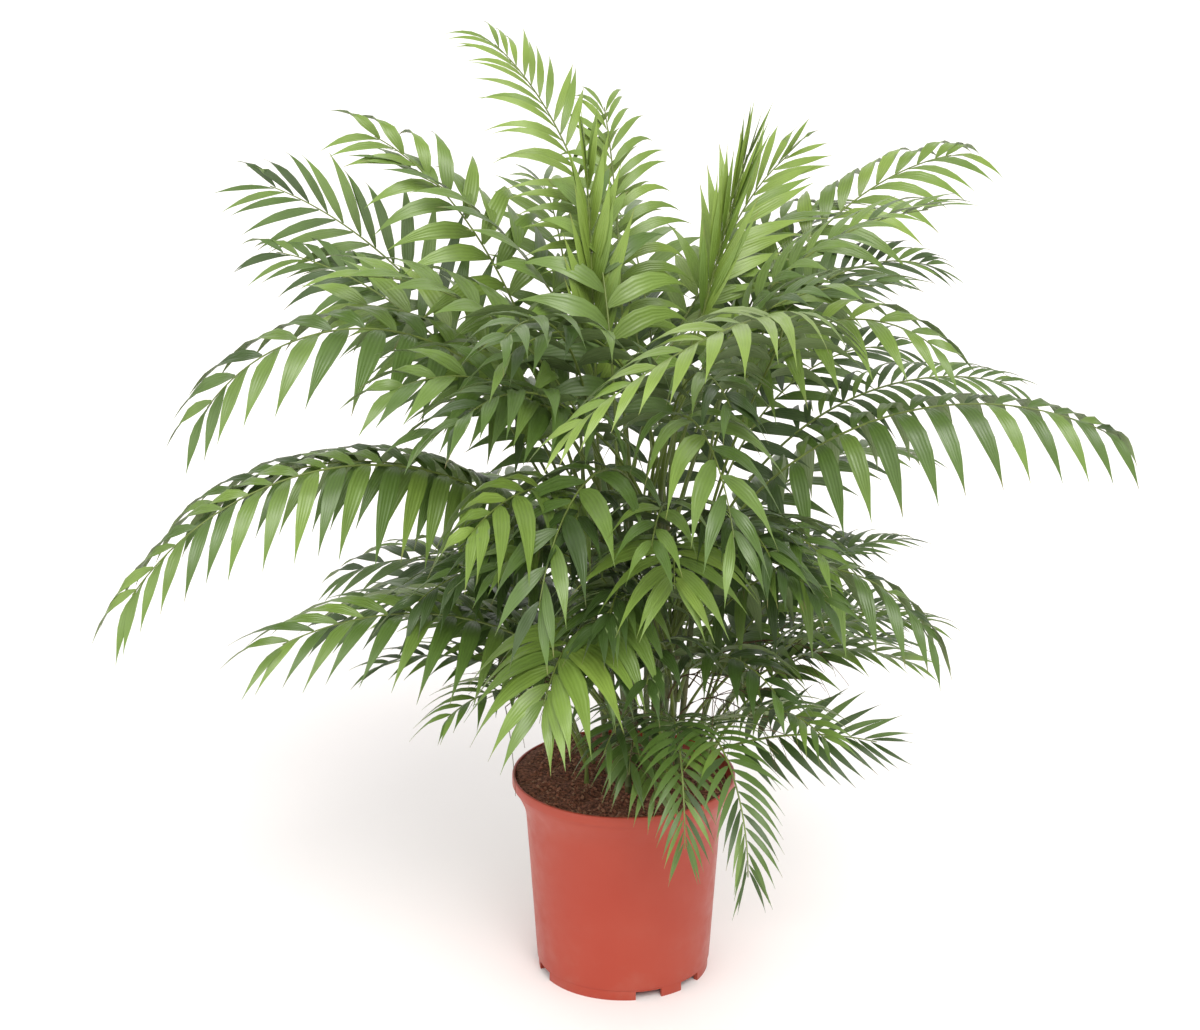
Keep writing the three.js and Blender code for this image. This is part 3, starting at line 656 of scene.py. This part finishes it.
def rib_frame(frond, line, distance):
    """The midrib at a distance along it: place, and the directions ahead, right and up."""
    place = min(distance / frond["length"] * RIB_STEPS, RIB_STEPS - 1e-6)
    index = int(place)
    point = line[index].lerp(line[index + 1], place - index)
    turn, climb = heading(frond, distance / frond["length"])
    ahead = ahead_of(turn, climb)
    right = Vector((math.sin(turn), -math.cos(turn), 0))
    roll = -math.radians(frond["roll"]) * min(1.0, distance / frond["stalk"])
    right = Matrix.Rotation(roll, 3, ahead) @ right
    return point, ahead, right, right.cross(ahead)


def rib_radius(frond, distance):
    """The stalk swells into a sheath where it leaves the cane."""
    plain = mixed(*RIB_RADIUS, distance / frond["length"])
    return plain + frond["sheath"] * math.exp(-distance / SHEATH_FADE)


def in_the_pot(point):
    """Whether a point in millimetres is in the pot's wall, in the soil or under the floor."""
    distance = math.hypot(point.x, point.y)
    if point.z < FLOOR_CLEARANCE:
        return True
    if point.z < SOIL_TOP + POT_CLEARANCE:
        flare = min(1.0, point.z / POT_HEIGHT) ** POT_FLARE_POWER
        return distance < mixed(POT_FOOT_RADIUS, POT_LIP_RADIUS, flare) + POT_CLEARANCE
    return (point.z < POT_HEIGHT + LIP_CLEARANCE
            and LIP_INNER_RADIUS < distance < POT_LIP_RADIUS + POT_CLEARANCE)


def draw_tube(points, faces, stations, sides, clockwise=False):
    """Adds a round tube, closed at both ends, to lists of corners and faces. Each station gives its
    middle, two directions across it and its radius there. Seen from the tube's far end, its corners
    run from the first direction to the second, which may be clockwise."""
    first = len(points)
    for middle, side, other, radius in stations:
        for corner in range(sides):
            angle = 2 * math.pi * corner / sides
            reach = side * (math.cos(angle) * radius) + other * (math.sin(angle) * radius)
            points.append((middle + reach) * MM)
    for ring in range(len(stations) - 1):
        here = first + ring * sides
        there = here + sides
        for corner in range(sides):
            after = (corner + 1) % sides
            left, right = (there + corner, here + after) if clockwise else (here + after, there + corner)
            faces.append((here + corner, left, there + after, right))
    last = first + (len(stations) - 1) * sides
    around = range(sides) if clockwise else range(sides)[::-1]
    faces.append(tuple(first + corner for corner in around))
    faces.append(tuple(last + corner for corner in around[::-1]))


class Foliage:
    """The corners and faces of one group of fronds, blades apart from stalks."""

    def __init__(self):
        self.blade_points = []
        self.blade_faces = []
        self.blade_tones = []
        self.blade_across = []
        self.stalk_points = []
        self.stalk_faces = []

    def add_stalk(self, frond, line):
        """The round midrib along its line."""
        stations = []
        for step in range(RIB_STEPS + 1):
            distance = frond["length"] * (step / RIB_STEPS)
            point, _, right, up = rib_frame(frond, line, min(distance, frond["length"] - RIB_END))
            stations.append((point, right, up, rib_radius(frond, distance)))
        draw_tube(self.stalk_points, self.stalk_faces, stations, RIB_SIDES, clockwise=True)

    def leaflet_path(self, ahead, up, out, size, hang, root):
        """Points down the middle of a leaflet and its direction at each: it rises off the midrib,
        curls towards the frond's tip and droops more and more."""
        point = root.copy()
        path = []
        for index, (along, _) in enumerate(LEAFLET_OUTLINE):
            droop = hang * LEAFLET_DROOP * along ** DROOP_POWER
            direction = (out + up * (LEAFLET_RISE * (1 - along)) + DOWN * droop
                         + ahead * (LEAFLET_CURL * along)).normalized()
            if index:
                point = point + direction * (size * (along - LEAFLET_OUTLINE[index - 1][0]))
            path.append((point, direction))
        return path

    def add_leaflet(self, frond, spot, side, part, tone, chance):
        """A pleated leaflet on one side of the midrib, part of the way from its first to its last:
        six corners at each place of its outline, five on its upper side and one beneath."""
        point, ahead, right, up = spot
        spread = math.radians(mixed(SPREAD_FIRST, SPREAD_LAST, part ** SPREAD_POWER) * frond["open"]
                              + chance.uniform(-SPREAD_UNEVEN_DEG, SPREAD_UNEVEN_DEG))
        size = (frond["leaf"] * chance.uniform(*LEAFLET_UNEVEN)
                * (1 - LEAFLET_LOSS_AT_TIP * part * part)
                * mixed(LEAFLET_SIZE_AT_FOOT, 1.0, min(1.0, 3 * part)))
        hang = frond["hang"] * (1 - HANG_LOSS_AT_TIP * part) + chance.uniform(*HANG_UNEVEN)
        out = right * (side * math.sin(spread)) + ahead * math.cos(spread)
        twist = Matrix.Rotation(
            math.radians(chance.uniform(-TWIST_UNEVEN_DEG, TWIST_UNEVEN_DEG)), 3, out)
        fold = chance.uniform(*FOLD)
        width = size * frond["broad"] * (1 - WIDTH_LOSS_AT_TIP * part) / 2
        root = point + right * (side * LEAFLET_ROOT * RIB_RADIUS[0])
        for less in HANG_TRIES:
            path = self.leaflet_path(ahead, up, out, size, hang + less, root)
            if not any(in_the_pot(place) for place, _ in path):
                break
        else:
            return
        first = len(self.blade_points)
        twisted = twist @ ahead
        for (place, direction), (along, share) in zip(path, LEAFLET_OUTLINE):
            across = (twisted - direction * twisted.dot(direction)).normalized()
            top = direction.cross(across) * side
            half = max(width * share, BLADE_LEAST_HALF)
            lift = top * (fold * half)
            rise = top * (BLADE_THICKNESS * min(1.0, 0.25 + share)) * 0.5
            crest = lift * 0.5 + top * (PLEAT * half) + rise
            corners = [place - across * half + lift, place - across * (0.5 * half) + crest,
                       place + rise, place + across * (0.5 * half) + crest,
                       place + across * half + lift, place - rise]
            self.blade_points.extend(corner * MM for corner in corners)
            self.blade_across.extend((share_across, along) for share_across in BLADE_CORNERS_ACROSS)
        ring_size = len(BLADE_CORNERS)
        last = first + (len(LEAFLET_OUTLINE) - 1) * ring_size
        faces = []
        for here in range(first, last, ring_size):
            there = here + ring_size
            for number, (corner, after) in enumerate(BLADE_CORNERS):
                faces.append((here + corner, here + after, there + after, there + corner))
                self.blade_tones.append(tone if number < UPPER_FACES else len(LEAF_GREENS))
        faces.append(tuple(first + corner for corner in (0, 5, 4, 3, 2, 1)))
        faces.append(tuple(last + corner for corner in (1, 2, 3, 4, 5, 0)))
        self.blade_faces.extend(face if side > 0 else face[::-1] for face in faces)
        self.blade_tones.extend([len(LEAF_GREENS)] * 2)

    def add_frond(self, name, row, tone, foot=None, sheath=None):
        """A whole frond from its row. It springs from its cane, unless a foot and a sheath are given."""
        frond = dict(zip(FROND_COLUMNS, row))
        frond["foot"] = foot or frond_foot(frond)
        frond["sheath"] = sheath or (SHEATH_ON_TOP if frond["rise"] == TOP else SHEATH_ON_SIDE)
        line = rib_line(frond)
        self.add_stalk(frond, line)
        chance = random.Random(name)
        spacing = LEAFLET_SPACING * frond["leaf"] * frond["broad"]
        pairs = round((frond["length"] - frond["stalk"]) / spacing)
        pairs = min(MOST_PAIRS, max(LEAST_PAIRS, pairs))
        last = frond["length"] - RIB_TIP
        step = (last - frond["stalk"]) / (pairs - 1)
        for pair in range(pairs):
            for side in (1, -1):
                stagger = PAIR_STAGGER * step if side < 0 and pair < pairs - 1 else 0.0
                uneven = chance.uniform(-PAIR_UNEVEN, PAIR_UNEVEN) * step
                distance = frond["stalk"] + pair * step + stagger + uneven
                distance = min(max(distance, frond["stalk"]), last)
                part = (distance - frond["stalk"]) / (last - frond["stalk"])
                shade = min(len(LEAF_GREENS) - 1, max(0, tone + chance.choice(GREEN_STEPS)))
                self.add_leaflet(frond, rib_frame(frond, line, distance), side, part, shade, chance)

    def finish(self, group, nodes):
        """Makes the group's two pieces: its leaflets, each marked with the way across and along it
        for the veins to follow, and its stalks."""
        leaflets = laid_out(f"leaflets_{group}", self.blade_points, self.blade_faces)
        for skin in leaf_finishes:
            leaflets.data.materials.append(skin)
        leaflets.data.polygons.foreach_set("material_index", self.blade_tones)
        marks = leaflets.data.uv_layers.new(name="leaflet")
        corners = np.empty(len(leaflets.data.loops), np.int32)
        leaflets.data.loops.foreach_get("vertex_index", corners)
        marks.data.foreach_set("uv", np.array(self.blade_across, np.float32)[corners].ravel())
        stalks = laid_out(f"stalks_{group}", self.stalk_points, self.stalk_faces)
        stalks.data.materials.append(stalk_skin)
        for piece in (leaflets, stalks):
            soften(piece, FROND_CREASE_DEG)
            settle(piece.name, piece, "frond", *nodes)


def leaf_finish(name, colour, roughness):
    """A leaflet's skin: one green that lightens towards the tip, with faint clouding and fine veins
    that run its whole length. Some tips are dried to a tan."""
    finish, shader, place = new_finish(
        name, Specular_IOR_Level=0.5, IOR=1.42, Coat_Weight=0.35, Coat_Roughness=0.32)
    across = place.node("ShaderNodeUVMap", {"uv_map": "leaflet"})
    veins = place.node("ShaderNodeTexWave", {"bands_direction": "X"}, {
        "Vector": across, "Scale": VEIN_SCALE}, 1)
    cloud = place.noise(LEAF_CLOUD_SCALE, 3.0).clamped(0.3, 0.7)
    along = across.node("ShaderNodeSeparateXYZ", None, {"Vector": across}, 1)
    darker = tuple(channel * LEAF_DARKER for channel in colour)
    lighter = tuple(channel * LEAF_LIGHTER + LEAF_LIGHTER_BY for channel in colour)
    grown = along.clamped(0.0, 0.8, 0.0, 1 - LEAF_CLOUD_SHARE) + cloud * LEAF_CLOUD_SHARE
    plain = grown.blend(opaque(darker), opaque(lighter))
    veined = (veins * VEIN_MOST).blend(plain, opaque(lighter))
    patches = place.noise(SCORCH_SCALE).clamped(0.50, 0.60)
    scorched = along.clamped(SCORCH_FROM, 1.0, 0.0, SCORCH_MOST) * patches
    sheen = place.noise(LEAF_SHEEN_SCALE)
    feed(shader, Base_Color=scorched.blend(veined, opaque(LEAF_TIP_TAN)),
         Roughness=sheen.clamped(0.3, 0.7, roughness, roughness + ROUGHNESS_CHANGE),
         Normal=relief(veins, 0.30, VEIN_DEPTH))
    return finish


leaf_finishes = [leaf_finish(name, colour, LEAF_ROUGHNESS) for name, colour in LEAF_GREENS.items()]
leaf_finishes.append(leaf_finish("leaf_underside", UNDERSIDE_GREEN, UNDERSIDE_ROUGHNESS))

stalk_skin, stalk_shader, stalk_place = new_finish("stalk_skin", Specular_IOR_Level=0.5)
stalk_tone = stalk_place.noise(45.0, 3.0)
feed(stalk_shader, Base_Color=stalk_tone.clamped(0.35, 0.65).blend(
        opaque(tuple(channel * STALK_DARKER for channel in STALK_GREEN)), opaque(STALK_GREEN)),
     Roughness=stalk_tone.clamped(0.3, 0.7, 0.36, 0.5),
     Normal=relief(stalk_place.noise(300.0), 0.2, 0.0004))


def grow_group(group, rows, twins=()):
    """Grows a group of fronds. Each row is a frond's name, its green and its values by column. A
    twin is one more frond, on a cane of the plant, that is counted with the frond of its name."""
    foliage = Foliage()
    for name, tone, row in rows:
        foliage.add_frond(name, row, tone)
    for index, (name, tone, row) in enumerate(twins):
        foliage.add_frond(f"{name} twin {index}", row, tone)
    foliage.finish(group, [f"frond_{name}" for name, _, _ in rows])


# ------------------------------------------------------------
# The fronds at the top of the plant: the youngest, nearly upright, the lightest green.

grow_group("top", [
    ("crest", 0, (6, TOP, 133, 85, 525, 200, 60, 1.9, 0, 10, 110, 0.12, 0.55, 0.95)),
    ("spear", 0, (4, TOP, 108, 85, 355, 110, 5, 1.7, 0, 0, 120, 0.15, 0.0, 0.38)),
    ("spire", 1, (1, TOP, 98, 87, 430, 170, 56, 1.8, 0, 0, 95, 0.15, 0.7, 1.0)),
    ("facing", 2, (7, TOP, 104, 86, 335, 110, 44, 1.6, 0, 0, 115, 0.24, 0.7, 1.0)),
    ("high_left", 1, (9, TOP, 162, 72, 462, 175, 48, 2.6, 0, 42, 115, 0.21, 0.8, 1.0)),
    ("high_right", 1, (11, TOP, 31, 66, 545, 190, 64, 1.8, 0, -30, 125, 0.17, 0.9, 0.9)),
    ("tall_right", 0, (3, TOP, 51, 80, 405, 195, 62, 1.7, 0, -55, 115, 0.16, 0.3, 0.68)),
    ("upright_right", 1, (0, TOP, 25, 76, 365, 185, 4, 1.7, 0, -60, 112, 0.11, 0.0, 0.26)),
], [
    ("crest", 1, (6, TOP, 40, 76, 430, 160, 84, 1.5, 0, 0, 110, 0.18, 0.4, 1.0)),
    ("spear", 3, (4, TOP, 250, 78, 400, 160, 90, 1.5, 0, 0, 120, 0.23, 0.5, 1.0)),
    ("spire", 2, (1, TOP, 165, 78, 430, 150, 60, 1.5, 0, 0, 120, 0.23, 0.4, 1.0)),
    ("facing", 2, (7, TOP, 180, 74, 400, 150, 76, 1.5, 0, 0, 125, 0.25, 0.4, 1.0)),
    ("high_left", 2, (9, TOP, 100, 76, 430, 160, 74, 1.5, 0, 0, 115, 0.2, 0.3, 1.0)),
    ("high_right", 2, (11, TOP, 100, 74, 430, 160, 78, 1.5, 0, 0, 115, 0.2, 0.4, 1.0)),
    ("tall_right", 2, (3, TOP, 0, 76, 430, 170, 70, 1.5, 0, 0, 110, 0.17, 0.3, 1.0)),
    ("upright_right", 3, (0, TOP, 232, 78, 370, 110, 100, 1.5, 0, 0, 120, 0.22, 0.7, 1.0)),
    ("upright_right", 3, (0, TOP, 285, 74, 330, 90, 98, 1.4, 0, 0, 115, 0.22, 0.7, 1.0)),
    ("facing", 3, (7, TOP, 232, 72, 340, 100, 96, 1.4, 0, 0, 120, 0.22, 0.7, 1.0)),
])

# ------------------------------------------------------------
# The fronds on the left: two long ones that arch right over, one that holds its blade on edge and
# shorter ones between them.

grow_group("left", [
    ("far_left", 3, (9, 262, 150, 59, 555, 210, 48, 1.7, 0, 58, 126, 0.15, 0.45, 1.0)),
    ("middle_left", 3, (9, 240, 203, 77, 600, 195, 128, 1.6, 0, 25, 128, 0.22, 1.15, 1.1)),
    ("long_left", 2, (4, 140, 205, 79, 690, 185, 130, 1.1, 0, 20, 130, 0.18, 1.6, 1.05)),
    ("low_left", 2, (7, 58, 208, 68, 475, 130, 84, 1.0, 0, 20, 140, 0.155, 0.8, 1.0)),
    ("bright_left", 1, (1, 250, 182, 74, 430, 150, 70, 1.5, 0, 30, 135, 0.26, 0.4, 1.0)),
    ("shade_left", 4, (4, 80, 186, 62, 350, 130, 90, 1.3, 0, 20, 110, 0.22, 0.7, 1.0)),
    ("inner_left", 3, (7, 275, 208, 80, 380, 160, 95, 1.5, 0, 25, 125, 0.25, 0.6, 1.0)),
], [
    ("far_left", 3, (9, 244, 158, 62, 505, 200, 58, 1.7, 0, 45, 105, 0.15, 0.8, 1.0)),
    ("long_left", 3, (4, 138, 200, 79, 570, 175, 106, 1.1, 0, 20, 118, 0.18, 1.3, 1.05)),
])

# ------------------------------------------------------------
# The fronds on the right: one long level one, and several that arch and hang at its sides.

grow_group("right", [
    ("arch_right", 1, (8, TOP, 338, 84, 405, 170, 117, 1.7, 0, -20, 118, 0.2, 1.1, 1.0)),
    ("long_right", 3, (5, TOP, 356, 76, 562, 190, 100, 1.05, 0, -18, 130, 0.19, 2.2, 1.1)),
    ("thin_right", 3, (8, 245, 3, 68, 420, 180, 84, 1.3, 0, -20, 85, 0.13, 0.7, 1.0)),
    ("shade_right", 4, (8, 190, 28, 83, 415, 150, 98, 1.7, 0, -30, 100, 0.17, 0.5, 1.0)),
    ("back_right", 3, (3, 270, 28, 74, 480, 190, 96, 1.7, 0, -30, 90, 0.14, 0.4, 1.0)),
    ("middle_right", 3, (5, 105, 335, 76, 390, 140, 132, 1.5, 0, 0, 125, 0.18, 2.2, 1.1)),
    ("small_right", 4, (8, 55, 20, 52, 290, 110, 70, 1.4, 0, -30, 85, 0.12, 0.5, 1.0)),
    ("low_right", 4, (8, 12, 350, 34, 225, 75, 44, 1.0, 0, -62, 88, 0.13, 0.15, 0.95)),
], [
    ("arch_right", 2, (8, TOP, 60, 78, 430, 160, 84, 1.5, 0, 0, 110, 0.18, 0.4, 1.0)),
    ("long_right", 2, (5, TOP, 262, 76, 360, 110, 100, 1.4, 0, 0, 120, 0.22, 0.7, 1.0)),
    ("long_right", 3, (5, TOP, 305, 70, 310, 90, 92, 1.4, 0, 0, 115, 0.22, 0.7, 1.0)),
])

# ------------------------------------------------------------
# The fronds at the front: short ones that come forward over the pot, two of them over its rim, and
# one long pale one that sweeps round in front of the clump.

grow_group("front", [
    ("arch_left", 0, (8, 255, 342, 80, 720, 220, 122, 1.3, -150, 0, 120, 0.2, 0.7, 1.0)),
    ("front_low", 1, (7, 128, 250, 82, 312, 190, 130, 1.0, 0, 0, 145, 0.22, 0.7, 1.1)),
    ("front_left", 1, (7, 248, 238, 76, 350, 170, 100, 1.05, 0, 20, 124, 0.23, 1.3, 1.0)),
    ("front_fan", 1, (10, TOP, 270, 84, 300, 225, 130, 1.6, 0, 0, 125, 0.18, 0.5, 1.3)),
    ("front_small", 3, (2, 185, 256, 80, 275, 165, 140, 1.0, 0, 0, 120, 0.2, 0.8, 1.15)),
    ("front_high", 2, (2, TOP, 285, 80, 400, 160, 140, 1.1, 0, 0, 130, 0.22, 0.8, 1.0)),
    ("front_middle", 3, (2, 290, 247, 80, 380, 150, 150, 1.0, 0, 0, 125, 0.22, 0.8, 1.0)),
    ("over_rim", 3, (10, 15, 286, 60, 400, 130, 150, 1.6, 0, 0, 85, 0.12, 0.3, 1.0)),
    ("over_rim_low", 3, (10, 35, 274, 60, 340, 120, 150, 1.6, 0, 0, 80, 0.12, 0.3, 1.0)),
], [
    ("front_high", 3, (2, TOP, 340, 80, 390, 160, 80, 1.5, 0, 0, 110, 0.2, 0.4, 1.0)),
    ("front_fan", 3, (10, TOP, 222, 70, 310, 110, 92, 1.4, 0, 0, 115, 0.2, 0.5, 1.0)),
    ("front_high", 3, (2, TOP, 212, 66, 330, 90, 96, 1.4, 0, 0, 115, 0.22, 0.7, 1.0)),
    ("front_fan", 3, (10, TOP, 312, 66, 290, 90, 96, 1.4, 0, 0, 110, 0.2, 0.6, 1.0)),
    ("front_small", 3, (2, 52, 262, 66, 175, 75, 120, 1.2, 0, 0, 85, 0.16, 0.6, 1.1)),
    ("front_low", 2, (7, 40, 282, 62, 165, 65, 120, 1.2, 0, 0, 85, 0.17, 0.6, 1.1)),
    ("over_rim", 3, (10, 70, 245, 66, 185, 80, 110, 1.2, 0, 0, 85, 0.15, 0.6, 1.1)),
])

# ------------------------------------------------------------
# The fronds at the back and inside the clump: older, and darker partly as painted shade; they fill the
# plant from behind.

grow_group("back", [
    ("back_1", 2, (11, 180, 60, 76, 470, 170, 100, 1.3, 0, 0, 115, 0.2, 0.5, 1.0)),
    ("back_2", 3, (3, 120, 38, 66, 450, 160, 92, 1.3, 0, 0, 110, 0.2, 0.5, 1.0)),
    ("back_3", 2, (6, 230, 96, 76, 450, 160, 86, 1.4, 0, 0, 115, 0.2, 0.5, 1.0)),
    ("back_4", 3, (6, 90, 122, 64, 430, 150, 92, 1.2, 0, 0, 110, 0.2, 0.5, 1.0)),
    ("back_5", 3, (1, 160, 140, 76, 440, 160, 84, 1.4, 0, 0, 115, 0.2, 0.5, 1.0)),
    ("inner_1", 4, (0, 240, 100, 80, 360, 150, 70, 1.5, 0, 0, 105, 0.2, 0.4, 1.0)),
    ("inner_2", 4, (2, 130, 312, 74, 330, 90, 92, 1.5, 0, 0, 115, 0.22, 0.7, 1.0)),
    ("inner_3", 4, (0, 110, 222, 76, 380, 100, 96, 1.4, 0, 0, 120, 0.22, 0.7, 1.0)),
], [
    ("inner_1", 4, (0, 150, 258, 70, 320, 100, 100, 1.4, 0, 0, 115, 0.22, 0.7, 1.0)),
    ("inner_1", 4, (0, 60, 300, 66, 300, 90, 90, 1.4, 0, 0, 110, 0.22, 0.7, 1.0)),
    ("inner_2", 4, (5, 200, 290, 74, 320, 100, 100, 1.4, 0, 0, 115, 0.22, 0.7, 1.0)),
    ("inner_2", 4, (5, 90, 262, 66, 300, 90, 90, 1.4, 0, 0, 110, 0.22, 0.7, 1.0)),
    ("inner_3", 4, (1, 180, 232, 74, 320, 100, 100, 1.4, 0, 0, 115, 0.22, 0.7, 1.0)),
    ("inner_3", 4, (4, 210, 262, 76, 330, 110, 100, 1.4, 0, 0, 115, 0.22, 0.7, 1.0)),
    ("back_1", 4, (11, 90, 30, 66, 310, 110, 90, 1.3, 0, -20, 100, 0.2, 0.6, 1.0)),
    ("back_3", 4, (6, 160, 80, 74, 380, 130, 90, 1.3, 0, 0, 110, 0.2, 0.6, 1.0)),
    ("back_4", 4, (6, 40, 150, 60, 360, 120, 84, 1.3, 0, 20, 110, 0.2, 0.6, 1.0)),
    ("back_5", 4, (1, 70, 165, 64, 380, 130, 90, 1.3, 0, 20, 110, 0.2, 0.6, 1.0)),
    ("back_2", 4, (3, 160, 350, 74, 235, 85, 100, 1.4, 0, -20, 90, 0.2, 0.6, 1.0)),
    ("back_1", 4, (11, 120, 10, 70, 245, 90, 90, 1.3, 0, -20, 90, 0.2, 0.6, 1.0)),
    ("inner_3", 4, (9, 120, 225, 70, 340, 110, 95, 1.4, 0, 15, 110, 0.22, 0.7, 1.0)),
    ("inner_1", 4, (10, 150, 250, 70, 280, 90, 95, 1.4, 0, 0, 105, 0.22, 0.7, 1.0)),
    ("inner_2", 4, (10, 200, 300, 74, 290, 90, 100, 1.4, 0, -10, 105, 0.22, 0.7, 1.0)),
])

# ------------------------------------------------------------
# The young shoots: six short stems round the back of the clump, each with three small fronds.

SHOOT_COUNT = 6
SHOOT_RING = 64.0
SHOOT_FIRST_TURN = -18
SHOOT_TURN_STEP = 42
SHOOT_FAN = 40
SHOOT_HEIGHTS = (14, 30)
SHOOT_TOP_RADIUS = 3.4
# Climb and length of a shoot's frond, then the rest of its row, from its bare stalk on
SHOOT_SIDE_FROND = (66, 290)
SHOOT_MIDDLE_FROND = (78, 350)
SHOOT_FROND = (95, 84, 1.3, 0, 0, 90, 0.16, 0.5, 1.0)
SHOOT_FROND_SHEATH = 1.4
SHOOT_STEM_SHEATH = 2.2
SHOOT_STEM_DEPTH = 2
SHOOT_STEM_OVERLAP = 3
SHOOT_GREEN = 2

shoots = Foliage()
for index in range(SHOOT_COUNT):
    turn = SHOOT_FIRST_TURN + SHOOT_TURN_STEP * index
    bearing = math.radians(turn)
    stem_top = Vector((CLUMP_X + SHOOT_RING * math.cos(bearing),
                       CLUMP_Y + SHOOT_RING * math.sin(bearing),
                       SOIL_TOP + FIT + SHOOT_HEIGHTS[index % 2] - SHOOT_TOP_RADIUS))
    stem_foot = Vector((stem_top.x, stem_top.y, SOIL_TOP - SHOOT_STEM_DEPTH))
    for place in (-1, 0, 1):
        lift, length = SHOOT_MIDDLE_FROND if place == 0 else SHOOT_SIDE_FROND
        row = (0, TOP, turn + place * SHOOT_FAN, lift, length, *SHOOT_FROND)
        shoots.add_frond(f"shoot {index} {place}", row, SHOOT_GREEN + (index + place) % 2,
                         stem_top, SHOOT_FROND_SHEATH)
    stem = {"foot": stem_foot, "turn": turn, "sweep": 0, "lift": 90, "bend": 0, "late": 1, "roll": 0,
            "stalk": 1, "length": stem_top.z - stem_foot.z + SHOOT_STEM_OVERLAP,
            "sheath": SHOOT_STEM_SHEATH}
    shoots.add_stalk(stem, rib_line(stem))
shoots.finish("shoots", [f"shoot_{index + 1}" for index in range(SHOOT_COUNT)])

# ------------------------------------------------------------
# The spent flower stalks: they spring from the lower canes, fork into thin threads along their outer
# half and have dried to a brown tangle between the canes.

# Cane, height on it, turn, climb, length and number of threads of each spray
SPRAYS = ((7, 95, 220, 66, 190, 12), (4, 120, 236, 70, 170, 11), (2, 70, 262, 58, 150, 10),
          (5, 80, 310, 62, 160, 12), (8, 105, 352, 66, 170, 11), (10, 120, 300, 70, 120, 9))
SPRAY_DROOP_DEG = 95
SPRAY_BARE_SHARE = 0.45
SPRAY_RADIUS = (1.1, 0.5)
THREAD_LENGTH = (55, 105)
THREAD_RADIUS = (0.55, 0.25)
THREAD_SPREAD_DEG = (25, 70)
THREAD_CLIMB_DEG = (-30, 45)
THREAD_DROOP_DEG = (20, 75)
THREAD_STEPS = 8
THREAD_SIDES = 5
SPRAY_BROWN = (0.085, 0.042, 0.024)
SPRAY_OLIVE = (0.100, 0.088, 0.034)

spray_points = []
spray_faces = []


def bent_line(foot, turn, climb, length, droop):
    """Points along a line that starts out at a turn and climb and bends down by droop degrees."""
    points = [foot.copy()]
    for step in range(THREAD_STEPS):
        here = math.radians(climb - droop * (step + 0.5) / THREAD_STEPS)
        points.append(points[-1] + ahead_of(math.radians(turn), here) * (length / THREAD_STEPS))
    return points


def add_thread(points, radii):
    """A thin round thread through the points, tapered from one radius to the other."""
    stations = []
    last = len(points) - 1
    for index, point in enumerate(points):
        ahead = (points[min(index + 1, last)] - points[max(index - 1, 0)]).normalized()
        side = ahead.orthogonal().normalized()
        stations.append((point, side, ahead.cross(side), mixed(*radii, index / last)))
    draw_tube(spray_points, spray_faces, stations, THREAD_SIDES)


for index, (cane, rise, turn, climb, length, threads) in enumerate(SPRAYS):
    chance = random.Random(f"spray {index}")
    foot = frond_foot({"cane": cane, "rise": rise, "turn": turn})
    spine = bent_line(foot, turn, climb, length, SPRAY_DROOP_DEG)
    add_thread(spine, SPRAY_RADIUS)
    for thread in range(threads):
        place = mixed(SPRAY_BARE_SHARE, 1.0, thread / (threads - 1)) * THREAD_STEPS
        start = min(int(place), THREAD_STEPS - 1)
        root = spine[start].lerp(spine[start + 1], place - start)
        aside = chance.choice((-1, 1)) * chance.uniform(*THREAD_SPREAD_DEG)
        add_thread(bent_line(root, turn + aside, chance.uniform(*THREAD_CLIMB_DEG),
                             chance.uniform(*THREAD_LENGTH), chance.uniform(*THREAD_DROOP_DEG)),
                   THREAD_RADIUS)

sprays = laid_out("flower_sprays", spray_points, spray_faces)
sprays.data.shade_smooth()
dry_spray, spray_shader, spray_place = new_finish("dry_spray", Specular_IOR_Level=0.3)
spray_tone = spray_place.noise(60.0)
feed(spray_shader,
     Base_Color=spray_tone.clamped(0.4, 0.62).blend(opaque(SPRAY_BROWN), opaque(SPRAY_OLIVE)),
     Roughness=spray_tone.clamped(0.3, 0.7, 0.7, 0.85))
sprays.data.materials.append(dry_spray)
settle("flower_sprays", sprays, "cane")
